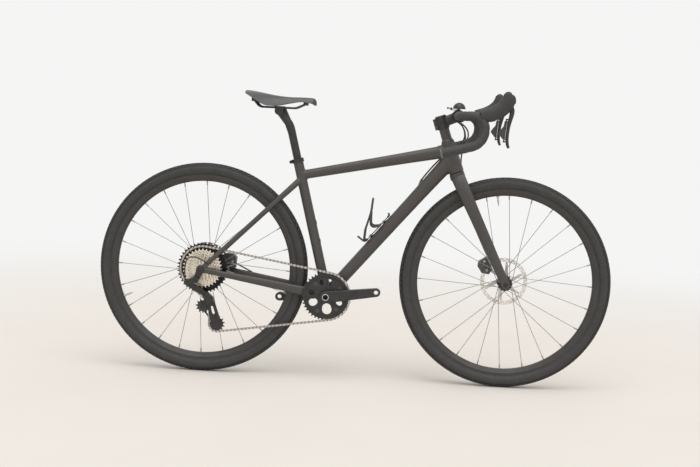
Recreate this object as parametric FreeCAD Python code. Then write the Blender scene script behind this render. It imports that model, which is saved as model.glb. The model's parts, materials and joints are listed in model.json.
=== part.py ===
import FreeCAD, Part
import math
import os

# Gravel bike with drop bars, one chainring and disc brakes, in millimetres.
# Origin on the ground midway between the axles, +X forward, +Y to the rider's left, +Z up.

Vec = FreeCAD.Vector
SIDE = Vec(0, 1, 0)
UP = Vec(0, 0, 1)

# Wheels and tyres
BEAD_SEAT_D = 622.0
TYRE_SECTION = 45.0
TYRE_WALL = 2.8
RIM_EDGE_LIFT = 6.0
RIM_DEPTH = 23.0
RIM_OUTER_W = 27.0
RIM_INNER_W = 23.0
RIM_WELL_DEPTH = 6.0
SPOKES = 24
SPOKE_CROSSES = 2
SPOKE_R = 1.0
NIPPLE_R = 2.1
NIPPLE_LENGTH = 13.0
VALVE_R = 3.0
VALVE_LENGTH = 24.0
WHEELBASE = 1022.0

# Frame geometry
CHAINSTAY = 430.0
BB_DROP = 72.0
HEAD_ANGLE = 71.0
SEAT_ANGLE = 75.3
FORK_RAKE = 53.0
FORK_LENGTH = 403.0
HEAD_TUBE_LENGTH = 108.0
SEAT_TUBE_LENGTH = 470.0
TOP_TUBE_JOIN = 76.0
TOP_TUBE_DROP = 55.0
DOWN_TUBE_JOIN = 50.0
SEATSTAY_DROP = 66.0
HEAD_TUBE_R_LOW = 26.0
HEAD_TUBE_R_TOP = 22.5
SEAT_TUBE_R = 17.0
BB_SHELL_R = 24.0
BB_SHELL_W = 86.0
BB_BORE_R = 20.5
BOTTLE_BOSS_R = 2.5
BOTTLE_BOSS_DEPTH = 12.0
BOTTLE_BOSS_SPACING = 64.0
SEAT_BOSS_LOW = 185.0
DOWN_BOSS_LOW = 250.0

# Hubs and axles
REAR_HUB_W = 142.0
FRONT_HUB_W = 100.0
THRU_AXLE_R = 6.0
DROPOUT_T = 8.0
ROTOR_R = 80.0
ROTOR_T = 1.8
FRONT_ROTOR_Y = 38.5
REAR_ROTOR_Y = 55.7

# Seatpost and saddle
POST_R = 13.6
POST_INSERTION = 120.0
POST_TRAVEL_DOWN = 70.0
POST_EXPOSED = 172.0
POST_SETBACK = 25.0
SADDLE_LENGTH = 240.0
SADDLE_WIDTH = 143.0
RAIL_R = 3.5
RAIL_SPACING = 44.0

# Cockpit
STEERER_R = 14.3
SPACER_STACK = 44.0
STEM_LENGTH = 58.0
STEM_RISE = 6.0
STEM_HEIGHT = 42.0
BAR_CLAMP_R = 15.9
BAR_R = 12.0
TAPE_R = 15.3
BAR_WIDTH = 420.0
BAR_REACH = 80.0
BAR_DROP = 90.0
BAR_FLARE = 26.0
DROP_TAIL = 138.0
DROP_TAIL_SLOPE = 15.7

# Drivetrain
CHAIN_PITCH = 12.7
CHAINRING_TEETH = 40
CASSETTE_TEETH = (42, 37, 32, 28, 24, 21, 19, 17, 15, 13, 11)
DRIVEN_COG = 37
COG_SPACING = 3.75
COG_T = 1.6
BIG_COG_Y = -27.5
CHAINLINE = 47.5
GUIDE_TEETH = 11
TENSION_TEETH = 13
CRANK_LENGTH = 170.0
CRANK_ANGLE = 8.3
CRANK_T = 13.5
Q_FACTOR = 151.0
PEDAL_BORE_R = 7.14
BOLT_CIRCLE_R = 55.0
SPIDER_ANGLES = (23.5, 123.3, 233.5, 303.5)
GUIDE_PULLEY_AHEAD = 5.5
GUIDE_PULLEY_BELOW = 129.0
CAGE_LENGTH = 77.0
CAGE_ANGLE_NOMINAL = -44.5

# Running and seating clearances
SEAT_GAP = 0.05
RUN_GAP = 0.3

WHEEL_R = BEAD_SEAT_D / 2 + TYRE_SECTION
REAR = Vec(-WHEELBASE / 2, 0, WHEEL_R)
FRONT = Vec(WHEELBASE / 2, 0, WHEEL_R)
BB = Vec(REAR.x + math.sqrt(CHAINSTAY**2 - BB_DROP**2), 0, WHEEL_R - BB_DROP)


def slope(degrees):
    """Unit vector in the bike's plane, at that angle above straight ahead."""
    return Vec(math.cos(math.radians(degrees)), 0, math.sin(math.radians(degrees)))


STEER_UP = slope(180 - HEAD_ANGLE)
STEER_FORWARD = slope(90 - HEAD_ANGLE)
SEAT_UP = slope(180 - SEAT_ANGLE)
CROWN = FRONT - STEER_FORWARD * FORK_RAKE + STEER_UP * FORK_LENGTH
HEAD_TOP = CROWN + STEER_UP * HEAD_TUBE_LENGTH
SEAT_TOP = BB + SEAT_UP * SEAT_TUBE_LENGTH


def steer_point(height):
    """Point on the steering axis, that far above the fork crown."""
    return CROWN + STEER_UP * height


def polar(centre, radius, degrees, y=0.0):
    """Point round a cross axis, in the plane at y."""
    return Vec(centre.x, y, centre.z) + slope(degrees) * radius


def cylinder(start, end, radius):
    axis = end - start
    return Part.makeCylinder(radius, axis.Length, start, axis)


def disc(centre, y_from, y_to, radius):
    """Cylinder along Y between two planes."""
    return Part.makeCylinder(radius, y_to - y_from, Vec(centre.x, y_from, centre.z), SIDE)


def ring(centre, y_from, y_to, outer, inner):
    return disc(centre, y_from, y_to, outer).cut(disc(centre, y_from, y_to, inner))


def fused(shapes):
    """One solid out of several that overlap."""
    return shapes[0].multiFuse(shapes[1:]).removeSplitter()


def mirrored(shape):
    return shape.mirror(Vec(0, 0, 0), SIDE)


def both_sides(shape):
    return [shape, mirrored(shape)]


def turned(profile, centre):
    """Solid turned about the cross axis through centre, from (radius, y) points."""
    points = [Vec(radius, y, 0) for radius, y in profile]
    face = Part.Face(Part.makePolygon(points + points[:1]))
    return face.revolve(Vec(0, 0, 0), SIDE, 360).translated(Vec(centre.x, 0, centre.z))


def oval(centre, degrees, half_tall, half_wide, power=2.0):
    """Closed section square to a direction in the bike's plane; a higher power is squarer."""
    tall = slope(degrees + 90)
    points = []
    for k in range(16):
        angle = math.pi * (k + 0.5) / 8
        across = math.copysign(abs(math.cos(angle)) ** (2 / power), math.cos(angle))
        height = math.copysign(abs(math.sin(angle)) ** (2 / power), math.sin(angle))
        points.append(centre + SIDE * (half_wide * across) + tall * (half_tall * height))
    curve = Part.BSplineCurve()
    curve.interpolate(points, PeriodicFlag=True)
    return Part.Wire([curve.toShape()])


def lofted(sections):
    """Smooth solid through oval sections."""
    return Part.makeLoft([oval(*section) for section in sections], True, False)


def rounded_path(points, radii):
    """Wire of straight runs with a tangent arc at each inner point."""
    edges = []
    start = points[0]
    for before, corner, after, radius in zip(points, points[1:], points[2:], radii):
        incoming = (corner - before).normalize()
        outgoing = (after - corner).normalize()
        turn = incoming.getAngle(outgoing)
        reach = radius * math.tan(turn / 2)
        arc_start = corner - incoming * reach
        arc_end = corner + outgoing * reach
        inward = (outgoing - incoming).normalize()
        middle = corner + inward * (radius / math.cos(turn / 2) - radius)
        if (arc_start - start).Length > 0.01:
            edges.append(Part.LineSegment(start, arc_start).toShape())
        edges.append(Part.Arc(arc_start, middle, arc_end).toShape())
        start = arc_end
    edges.append(Part.LineSegment(start, points[-1]).toShape())
    return Part.Wire(edges)


def rod(points, radii, radius):
    """Round bar along straight runs and arcs."""
    path = rounded_path(points, radii)
    profile = Part.Wire([Part.makeCircle(radius, points[0], points[1] - points[0])])
    return path.makePipeShell([profile], True, False)


def hull_face(first, first_r, second, second_r, y):
    """Face round two circles joined by their outer tangents, in the plane at y."""
    along = second - first
    heading = math.degrees(math.atan2(along.z, along.x))
    lean = math.degrees(math.acos((first_r - second_r) / along.Length))
    a_up = polar(first, first_r, heading + lean, y)
    a_back = polar(first, first_r, heading + 180, y)
    a_down = polar(first, first_r, heading - lean, y)
    b_down = polar(second, second_r, heading - lean, y)
    b_front = polar(second, second_r, heading, y)
    b_up = polar(second, second_r, heading + lean, y)
    edges = [Part.Arc(a_up, a_back, a_down).toShape(), Part.LineSegment(a_down, b_down).toShape(),
             Part.Arc(b_down, b_front, b_up).toShape(), Part.LineSegment(b_up, a_up).toShape()]
    return Part.Face(Part.Wire(edges))


def hull(first, first_r, second, second_r, y_from, y_to):
    """Flat bar round two circles, between two planes across the bike."""
    return hull_face(first, first_r, second, second_r, y_from).extrude(SIDE * (y_to - y_from))


# Wheels

RIM_EDGE_R = BEAD_SEAT_D / 2 + RIM_EDGE_LIFT
RIM_INNER_R = RIM_EDGE_R - RIM_DEPTH
HUB_SLEEVE_R = 9.0
HUB_CAP_R = 10.5
HUB_CAP_LENGTH = 4.5
BEARING_R = 14.0
BEARING_W = 7.0
FLANGE_HOLE_R = 22.0
FLANGE_EDGE = 2.4
FLANGE_T = 3.0
HUB_WAIST_R = 16.0
ROTOR_SPLINE_R = 17.0
SPOKE_STANDOFF = 3.7
SPOKE_HOLE_R = 1.3
NIPPLE_GAP = 0.4
RIM_SPOKE_Y = 2.5
FRONT_FLANGES = (21.0, -33.0)
REAR_FLANGES = (33.0, -21.0)


def tyre(centre):
    """Open casing of round section, hooked inside the rim edges."""
    half = TYRE_SECTION / 2
    bead_r = RIM_EDGE_R - 4.5
    bead_y = RIM_INNER_W / 2 - 0.3
    waist_r = RIM_EDGE_R + 0.3
    wide_r = WHEEL_R - half + 1
    shoulder_r = WHEEL_R - 7
    shoulder_y = half * 0.78
    inner_half = half - TYRE_WALL
    crown_r = WHEEL_R - TYRE_WALL * 1.4

    def at(radius, y):
        return Vec(radius, y, 0)

    def line(start, end):
        return Part.LineSegment(at(*start), at(*end)).toShape()

    def arc(start, middle, end):
        return Part.Arc(at(*start), at(*middle), at(*end)).toShape()

    edges = [line((bead_r, bead_y), (waist_r, bead_y)),
             arc((waist_r, bead_y), (wide_r, half), (shoulder_r, shoulder_y)),
             arc((shoulder_r, shoulder_y), (WHEEL_R, 0), (shoulder_r, -shoulder_y)),
             arc((shoulder_r, -shoulder_y), (wide_r, -half), (waist_r, -bead_y)),
             line((waist_r, -bead_y), (bead_r, -bead_y)),
             line((bead_r, -bead_y), (bead_r, TYRE_WALL - bead_y)),
             line((bead_r, TYRE_WALL - bead_y), (waist_r, TYRE_WALL - bead_y)),
             arc((waist_r, TYRE_WALL - bead_y), (wide_r, -inner_half), (crown_r, 0)),
             arc((crown_r, 0), (wide_r, inner_half), (waist_r, bead_y - TYRE_WALL)),
             line((waist_r, bead_y - TYRE_WALL), (bead_r, bead_y - TYRE_WALL)),
             line((bead_r, bead_y - TYRE_WALL), (bead_r, bead_y))]
    return Part.Face(Part.Wire(edges)).revolve(Vec(0, 0, 0), SIDE, 360).translated(centre)


def rim(centre):
    """Box rim with a dropped well between its two edges."""
    outer = RIM_OUTER_W / 2
    inner = RIM_INNER_W / 2
    well_r = RIM_EDGE_R - RIM_WELL_DEPTH
    side = [(RIM_EDGE_R, outer), (RIM_EDGE_R, inner), (well_r, inner), (well_r - 1.2, inner - 4),
            (well_r - 4, inner - 6)]
    low = [(RIM_EDGE_R - 9, outer), (RIM_INNER_R + 4, outer - 5), (RIM_INNER_R, outer - 9)]
    left = [(radius, -y) for radius, y in reversed(side)]
    low_left = [(radius, -y) for radius, y in low]
    return turned(side + left + low_left + low[::-1], centre)


def spoke(flange_y, outside, leading):
    """One elbow spoke with head and nipple, laced to rim angle 0 about the origin."""
    outward = math.copysign(1, flange_y)
    face = 1 if outside else -1
    lean = 360 / SPOKES * 2 * SPOKE_CROSSES * (1 if leading else -1)
    start_y = flange_y + outward * face * SPOKE_STANDOFF
    start = slope(lean) * FLANGE_HOLE_R + SIDE * start_y
    end = slope(0) * (RIM_INNER_R - NIPPLE_GAP) + SIDE * (outward * RIM_SPOKE_Y)
    line = (end - start).normalize()
    head_y = flange_y - outward * face * (FLANGE_T / 2 + 0.9)
    head = Vec(start.x, head_y, start.z)
    toward = SIDE * (-outward * face)
    return fused([cylinder(start, end, SPOKE_R), cylinder(end - line * NIPPLE_LENGTH, end, NIPPLE_R),
                  cylinder(start, head, SPOKE_R), Part.makeSphere(SPOKE_R, start),
                  cylinder(head - toward * 0.8, head, SPOKE_R * 1.9)])


def spokes(centre, flanges):
    """Crossed spokes; each flange feeds every second rim hole."""
    step = 360 / SPOKES
    kinds = [(flanges[0], True, True, 0), (flanges[1], True, False, 1),
             (flanges[0], False, False, 2), (flanges[1], False, True, 3)]
    solids = []
    for flange_y, outside, leading, slot in kinds:
        pattern = spoke(flange_y, outside, leading)
        for k in range(SPOKES // 4):
            turn = -step * (4 * k + slot)
            solids.append(pattern.rotated(Vec(0, 0, 0), SIDE, turn).translated(centre))
    return Part.makeCompound(solids)


def flange_holes(centre, flanges):
    """Cutters for the spoke holes of both flanges."""
    step = 360 / SPOKES
    lean = step * 2 * SPOKE_CROSSES
    cutters = []
    left = (flanges[0], (lean, 2 * step - lean))
    right = (flanges[1], (step - lean, 3 * step + lean))
    for flange_y, angles in (left, right):
        for k in range(SPOKES // 4):
            for angle in angles:
                where = polar(centre, FLANGE_HOLE_R, angle + 4 * k * step)
                cutters.append(disc(where, flange_y - FLANGE_T, flange_y + FLANGE_T, SPOKE_HOLE_R))
    return cutters


def hub(centre, flanges, rotor_y):
    """Shell with two drilled flanges, a rotor seat, lockring and two bearings."""
    left, right = flanges
    flange_r = FLANGE_HOLE_R + FLANGE_EDGE
    half = FLANGE_T / 2
    end_left = rotor_y + ROTOR_T
    end_right = right - half - 0.6
    bore = HUB_SLEEVE_R + 2
    shell = turned([(bore, end_left), (ROTOR_SPLINE_R, end_left), (ROTOR_SPLINE_R, left + half + 3),
                    (flange_r - 5, left + half), (flange_r, left + half), (flange_r, left - half),
                    (flange_r - 4, left - half), (HUB_WAIST_R, left - half - 8),
                    (HUB_WAIST_R, right + half + 8), (flange_r - 4, right + half),
                    (flange_r, right + half), (flange_r, right - half), (bore + 6, right - half),
                    (bore + 6, end_right), (bore, end_right)], centre)
    seats = [disc(centre, end_left - BEARING_W, end_left + 1, BEARING_R),
             disc(centre, end_right - 1, end_right + BEARING_W, BEARING_R)]
    shell = shell.cut(Part.makeCompound(seats + flange_holes(centre, flanges)))
    bearings = [ring(centre, end_left - BEARING_W + SEAT_GAP, end_left, BEARING_R - SEAT_GAP,
                     HUB_SLEEVE_R + SEAT_GAP),
                ring(centre, end_right, end_right + BEARING_W - SEAT_GAP, BEARING_R - SEAT_GAP,
                     HUB_SLEEVE_R + SEAT_GAP)]
    lock = ring(centre, end_left + SEAT_GAP, end_left + 3, ROTOR_SPLINE_R + 2.5, HUB_CAP_R + 1.2)
    return Part.makeCompound([shell, lock] + bearings)


def thru_axle(centre, hub_w, y_left, y_right):
    """Rod with a socket head, and the hub's inner sleeve with its two end caps."""
    half = hub_w / 2
    cap = half - HUB_CAP_LENGTH
    bore = THRU_AXLE_R + SEAT_GAP
    sleeve = turned([(bore, half), (HUB_CAP_R, half), (HUB_CAP_R, cap), (HUB_SLEEVE_R, cap),
                     (HUB_SLEEVE_R, -cap), (HUB_CAP_R, -cap), (HUB_CAP_R, -half), (bore, -half)], centre)
    head = disc(centre, y_left, y_left + 3.5, THRU_AXLE_R + 3.5)
    shaft = fused([disc(centre, y_right, y_left + 1, THRU_AXLE_R), head])
    return Part.makeCompound([shaft.cut(disc(centre, y_left - 6, y_left + 5, 3.0)), sleeve])


ROTOR_BAND = 13.0
ROTOR_ARMS = 6
CARRIER_R = 23.0
ROTOR_HOLE_R = 2.6


def rotor_track(centre, y):
    """Steel braking band with drilled rows and inner tabs for the carrier."""
    y_from = y - ROTOR_T / 2
    band = ring(centre, y_from, y_from + ROTOR_T, ROTOR_R, ROTOR_R - ROTOR_BAND)
    cutters = []
    for k in range(ROTOR_ARMS * 4):
        for row, turn in ((0.3, 0.0), (0.7, 7.5)):
            where = polar(centre, ROTOR_R - ROTOR_BAND * row, k * 90 / ROTOR_ARMS + turn)
            cutters.append(disc(where, y_from - 1, y_from + 4, ROTOR_HOLE_R * (1.1 - 0.3 * row)))
    return band.cut(Part.makeCompound(cutters))


def rotor_carrier(centre, y):
    """Dark spider between the hub's spline and the braking band."""
    y_from = y - ROTOR_T / 2
    y_to = y_from + ROTOR_T
    rim_r = ROTOR_R - ROTOR_BAND - SEAT_GAP
    parts = [disc(centre, y_from, y_to, CARRIER_R)]
    for k in range(ROTOR_ARMS):
        angle = k * 360 / ROTOR_ARMS
        foot = polar(centre, CARRIER_R - 4, angle)
        tab = polar(centre, rim_r - 4.2, angle + 24)
        parts.append(hull(foot, 5.5, tab, 4.0, y_from, y_to))
    body = fused(parts)
    return body.cut(disc(centre, y_from - 1, y_to + 1, ROTOR_SPLINE_R + SEAT_GAP))


def valve(centre, degrees):
    """Valve stem pointing at the hub, with a lock nut against the rim."""
    top = polar(centre, RIM_INNER_R - SEAT_GAP, degrees)
    low = polar(centre, RIM_INNER_R - VALVE_LENGTH, degrees)
    nut = polar(centre, RIM_INNER_R - 4, degrees)
    tip = polar(centre, RIM_INNER_R - VALVE_LENGTH - 9, degrees)
    return fused([cylinder(top, low, VALVE_R), cylinder(top, nut, VALVE_R * 1.8),
                  cylinder(low, tip, VALVE_R * 0.6)])


# Frame

SEAT_FORWARD = slope(90 - SEAT_ANGLE)
BOSS_R = 6.0
BOSS_LIFT = 1.5
DOWN_TUBE_TALL = 22.5
BEARING_H = 8.0
LOW_BEARING_R = 22.5
TOP_BEARING_R = 19.5
HEAD_BORE_R = 17.0
STAY_Y = REAR_HUB_W / 2 + DROPOUT_T / 2
DROPOUT_R = 15.0


def heading(start, end):
    """Angle of a line in the bike's plane, in degrees above straight ahead."""
    return math.degrees(math.atan2(end.z - start.z, end.x - start.x))


DOWN_HEAD = steer_point(DOWN_TUBE_JOIN)
DOWN_ANGLE = heading(BB, DOWN_HEAD)


def down_point(along, height, y=0.0):
    """Point on the down tube: along its axis from the bottom bracket, out of its upper face, across."""
    return BB + slope(DOWN_ANGLE) * along + slope(DOWN_ANGLE + 90) * height + SIDE * y


def seat_point(along, forward, y=0.0):
    return BB + SEAT_UP * along + SEAT_FORWARD * forward + SIDE * y


def tapered_tube(start, end, stations):
    """Tube through (share of its length, offset across, half height, half width, squareness)."""
    degrees = heading(start, end)
    sections = []
    for share, y, tall, wide, power in stations:
        sections.append((start + (end - start) * share + SIDE * y, degrees, tall, wide, power))
    return lofted(sections)


def chainstay():
    """Left stay, pinched between tyre and crank, spreading to the dropout."""
    spread = STAY_Y
    return tapered_tube(BB, REAR, [(0.02, 24, 18, 10, 2.2), (0.17, 35.5, 16, 6.3, 2.6),
                                   (0.38, 45.5, 14, 7.0, 2.6), (0.75, spread - 10, 11, 6.6, 2.4),
                                   (0.88, spread - 2.5, 10, 4.6, 2.5), (1.0, spread, 9, DROPOUT_T / 2, 2.6)])


def seatstay():
    """Left stay from the seat tube round the tyre to the dropout."""
    start = seat_point(SEAT_TUBE_LENGTH - SEATSTAY_DROP, 0)
    spread = STAY_Y
    return tapered_tube(start, REAR, [(0.0, 6, 11, 8, 2.2), (0.12, 24, 10, 8, 2.3), (0.25, 36.5, 9, 6.5, 2.4),
                                      (0.6, spread - 20, 8, 6.0, 2.4), (0.84, spread - 5, 8, 5.0, 2.4),
                                      (1.0, spread, 8, DROPOUT_T / 2, 2.6)])


def boss_points():
    """Bottle bosses as (foot on the tube, outward direction)."""
    out_down = slope(DOWN_ANGLE + 90)
    points = []
    for step in (0, BOTTLE_BOSS_SPACING):
        points.append((seat_point(SEAT_BOSS_LOW + step, SEAT_TUBE_R), SEAT_FORWARD))
        points.append((down_point(DOWN_BOSS_LOW + step, DOWN_TUBE_TALL), out_down))
    return points


PORT_ALONG = 505.0
PORT_LIFT = 27.4
PORT_LENGTH = 24.0


def cable_port():
    """Raised guide on the down tube where the hoses go in."""
    start = down_point(PORT_ALONG - PORT_LENGTH, 19, 8)
    end = down_point(PORT_ALONG, PORT_LIFT - 2.4, 8)
    return lofted([(start, DOWN_ANGLE, 4, 7, 2.4), (end, DOWN_ANGLE, 6.5, 9.5, 2.6)])


def main_frame():
    """Moulded frame: all tubes, stays and dropouts in one piece, with its bores."""
    top_front = steer_point(TOP_TUBE_JOIN)
    top_rear = seat_point(SEAT_TUBE_LENGTH - TOP_TUBE_DROP, 0)
    dropout = disc(REAR, REAR_HUB_W / 2, REAR_HUB_W / 2 + DROPOUT_T, DROPOUT_R)
    tubes = [Part.makeCone(HEAD_TUBE_R_LOW, HEAD_TUBE_R_TOP, HEAD_TUBE_LENGTH, CROWN, STEER_UP),
             tapered_tube(BB, DOWN_HEAD, [(0, 0, 20, 26, 2.4), (0.25, 0, 21, 25, 2.6),
                                          (0.7, 0, DOWN_TUBE_TALL, 23, 2.6), (1, 0, 27, 20, 2.3)]),
             tapered_tube(top_rear, top_front, [(0, 0, 15.5, 14, 2.2), (0.35, 0, 17, 17, 2.5),
                                                (0.75, 0, 19.5, 19, 2.5), (1, 0, 22, 18, 2.3)]),
             cylinder(BB, SEAT_TOP, SEAT_TUBE_R),
             disc(BB, -BB_SHELL_W / 2, BB_SHELL_W / 2, BB_SHELL_R)]
    for stay in (chainstay(), seatstay(), dropout):
        tubes += both_sides(stay)
    tubes.append(cable_port())
    for foot, outward in boss_points():
        tubes.append(cylinder(foot - outward * 4, foot + outward * BOSS_LIFT, BOSS_R))
    body = fused(tubes)
    post_floor = POST_INSERTION + POST_TRAVEL_DOWN + 8
    cutters = [cylinder(SEAT_TOP - SEAT_UP * post_floor, SEAT_TOP + SEAT_UP * 5, POST_R + SEAT_GAP),
               cylinder(CROWN - STEER_UP * 5, HEAD_TOP + STEER_UP * 5, HEAD_BORE_R),
               cylinder(CROWN - STEER_UP * 5, CROWN + STEER_UP * BEARING_H, LOW_BEARING_R + SEAT_GAP),
               cylinder(HEAD_TOP - STEER_UP * BEARING_H, HEAD_TOP + STEER_UP * 5, TOP_BEARING_R + SEAT_GAP),
               disc(BB, -BB_SHELL_W, BB_SHELL_W, BB_BORE_R),
               disc(REAR, -REAR_HUB_W, REAR_HUB_W, THRU_AXLE_R + SEAT_GAP),
               disc(REAR, -REAR_HUB_W / 2, REAR_HUB_W / 2, 28.0),
               disc(REAR, REAR_HUB_W / 2 + DROPOUT_T, REAR_HUB_W, THRU_AXLE_R + 4),
               hull(REAR, 12.4, KNUCKLE_TOP, 9.4, -REAR_HUB_W, -REAR_HUB_W / 2 - DROPOUT_T)]
    for foot, outward in boss_points():
        deep = BOTTLE_BOSS_DEPTH - BOSS_LIFT
        cutters.append(cylinder(foot - outward * deep, foot + outward * 5, BOTTLE_BOSS_R))
    slot_top = SEAT_TOP + SEAT_UP * 2
    slot = Part.makeBox(40, 1.6, 34, Vec(-40, -0.8, -34))
    slot.rotate(Vec(0, 0, 0), SIDE, SEAT_ANGLE - 90)
    cutters.append(slot.translated(slot_top))
    return body.cut(Part.makeCompound(cutters))


COLLAR_H = 13.0
COLLAR_WALL = 3.2
COLLAR_BOLT_R = 5.5


def seat_collar():
    """Band round the seat tube top with a cross bolt in two rear ears."""
    low = SEAT_TOP - SEAT_UP * (COLLAR_H - 2)
    high = SEAT_TOP + SEAT_UP * 2
    ear_at = (low + high) * 0.5 - SEAT_FORWARD * (SEAT_TUBE_R + COLLAR_WALL + COLLAR_BOLT_R - 2)
    root = (low + high) * 0.5 - SEAT_FORWARD * (SEAT_TUBE_R + 1)
    band = cylinder(low, high, SEAT_TUBE_R + COLLAR_WALL)
    body = fused([band, hull(root, 6, ear_at, COLLAR_BOLT_R, -9, 9)])
    body = body.cut(cylinder(low - SEAT_UP * 9, SEAT_TOP + SEAT_UP * SEAT_GAP, SEAT_TUBE_R + SEAT_GAP))
    body = body.cut(cylinder(low - SEAT_UP * 9, high + SEAT_UP * 9, POST_R + 2 * RUN_GAP))
    gap = hull(root + SEAT_FORWARD * 12, 12, ear_at - SEAT_FORWARD * 9, 12, -0.8, 0.8)
    body = body.cut(gap).cut(disc(ear_at, -20, 20, 2.5 + SEAT_GAP))
    seat = -9 - SEAT_GAP
    bolt = fused([disc(ear_at, seat - 4, 8.5, 2.5), disc(ear_at, seat - 4, seat, 4.2)])
    return Part.makeCompound([body, bolt.cut(disc(ear_at, -15, -11, 2.0))])


SPINDLE_R = 12.0
CUP_FLANGE_R = 22.5
CUP_FLANGE_W = 2.5


def bottom_bracket():
    """Two pressed cups with their bearings, one at each end of the shell."""
    half = BB_SHELL_W / 2
    bore = SPINDLE_R + SEAT_GAP
    pressed = BB_BORE_R - SEAT_GAP
    face = half + SEAT_GAP
    end = half + CUP_FLANGE_W
    cup = turned([(bore, half - 12), (pressed, half - 12), (pressed, face), (CUP_FLANGE_R, face),
                  (CUP_FLANGE_R, end), (bore, end)], BB)
    return Part.makeCompound(both_sides(cup))


# Brake calipers

CALIPER_OFFSET = 34.0
CALIPER_R = 83.0
CALIPER_LENGTH = 58.0
CALIPER_INNER = 12.5
CALIPER_OUTER = 14.5
CALIPER_TALL = 24.0
PAD_T = 1.3
PAD_GAP = 0.4


def caliper(axle, stay_degrees, stay_half, rotor_y):
    """Flat-mount caliper over the rotor: body with piston caps, two pads and two mount feet."""
    along = slope(stay_degrees)
    away = slope(stay_degrees + 90)
    middle = axle + slope(stay_degrees + CALIPER_OFFSET) * CALIPER_R
    reach = (middle - axle).dot(along)
    top = (middle - axle).dot(away) + CALIPER_TALL / 2
    start = reach - CALIPER_LENGTH / 2
    y_in = rotor_y - CALIPER_INNER
    y_out = rotor_y + CALIPER_OUTER

    def local(x, z, y):
        return axle + along * x + away * z + SIDE * y

    corners = [local(start - 6, stay_half, y_in), local(start + CALIPER_LENGTH + 4, stay_half, y_in),
               local(start + CALIPER_LENGTH, top - 8, y_in),
               local(start + CALIPER_LENGTH - 14, top + 2, y_in),
               local(start + 19, top - 1, y_in), local(start + 6, top - 18, y_in)]
    block = Part.Face(Part.makePolygon(corners + corners[:1])).extrude(SIDE * (y_out - y_in))
    long_edges = [edge for edge in block.Edges if abs(edge.tangentAt(edge.FirstParameter).y) > 0.99]
    block = block.makeFillet(3.5, long_edges)
    piston = axle + slope(stay_degrees + CALIPER_OFFSET) * (CALIPER_R - 11)
    caps = [disc(piston, y_in - 2, y_in + 1, 11.0), disc(piston, y_out - 1, y_out + 2.5, 12.5)]
    body = fused([block] + caps)
    body = body.cut(disc(axle, y_in - 9, y_out + 9, ROTOR_R - 24))
    body = body.cut(disc(axle, rotor_y - 2.6, rotor_y + 2.6, ROTOR_R + 2.5))
    solids = [body]
    face = ROTOR_T / 2 + PAD_GAP
    for low in (rotor_y + face, rotor_y - face - PAD_T):
        solids.append(disc(piston, low, low + PAD_T, 10.0))
    return Part.makeCompound(solids)


# Bottle cage

CAGE_LIFT = DOWN_TUBE_TALL + BOSS_LIFT + SEAT_GAP
CAGE_T = 3.0
CAGE_ROD_R = 3.2
BOTTLE_R = 37.0


def bottle_cage():
    """Base strap on the bosses, bottom lip, and an open V arm round each side of the bottle."""
    low = DOWN_BOSS_LOW - 22
    high = DOWN_BOSS_LOW + BOTTLE_BOSS_SPACING + 24
    base = CAGE_LIFT + CAGE_T / 2
    axis = CAGE_LIFT + CAGE_T + BOTTLE_R
    wide = BOTTLE_R + CAGE_ROD_R + 0.5
    strap = Part.makeBox(high - low, 20, CAGE_T, Vec(low, -10, CAGE_LIFT))
    strap.rotate(Vec(0, 0, 0), SIDE, -DOWN_ANGLE)
    strap.translate(BB)
    lip = rod([down_point(low + 6, base, 0), down_point(low - 8, base + 1, 0),
               down_point(low - 10, base + 32, 0)],
              [9], CAGE_ROD_R)
    fork = down_point(DOWN_BOSS_LOW + 60, base + 53, wide)
    arm = rod([down_point(low + 2, base, 5), down_point(low - 3, base + 8, 30),
               down_point(low + 26, axis - 10, wide), fork,
               down_point(DOWN_BOSS_LOW + 98, base + 79, 17)],
              [10, 30, 50], CAGE_ROD_R)
    brace = rod([down_point(DOWN_BOSS_LOW + BOTTLE_BOSS_SPACING - 13, base + 1.4, 6),
                 down_point(DOWN_BOSS_LOW + 45, base + 1, 25),
                 down_point(DOWN_BOSS_LOW + 22, base + 21, wide), fork],
                [8, 14], CAGE_ROD_R)
    tip = rod([down_point(high - 4, base, 0), down_point(high + 5, base + 1, 0),
               down_point(high + 9, base + 8, 0)],
              [5], CAGE_ROD_R)
    body = fused([strap, lip, tip] + both_sides(arm) + both_sides(brace))
    out = slope(DOWN_ANGLE + 90)
    holes = []
    for step in (0, BOTTLE_BOSS_SPACING):
        foot = down_point(DOWN_BOSS_LOW + step, CAGE_LIFT)
        holes.append(cylinder(foot - out * 5, foot + out * 9, BOTTLE_BOSS_R + SEAT_GAP))
    return body.cut(Part.makeCompound(holes))


def cage_bolts():
    """Two screws that hold the bottle cage to the down tube."""
    out = slope(DOWN_ANGLE + 90)
    bolts = []
    for step in (0, BOTTLE_BOSS_SPACING):
        foot = down_point(DOWN_BOSS_LOW + step, CAGE_LIFT + CAGE_T + SEAT_GAP)
        bolt = fused([cylinder(foot - out * 10, foot + out * 1, BOTTLE_BOSS_R - 0.1),
                      cylinder(foot, foot + out * 3.2, BOTTLE_BOSS_R + 2)])
        bolts.append(bolt.cut(cylinder(foot + out * 1.2, foot + out * 5, 1.8)))
    return Part.makeCompound(bolts)


# Fork and headset

FORK_Y = FRONT_HUB_W / 2 + 7
LEG_HALF = 14.5
CROWN_R = 25.5
CROWN_H = 24.0
STEM_FOOT = HEAD_TUBE_LENGTH + SPACER_STACK
STEM_TOP = STEM_FOOT + STEM_HEIGHT
FORK_PORT = steer_point(-4) + STEER_FORWARD * 19 + SIDE * 25


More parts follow.
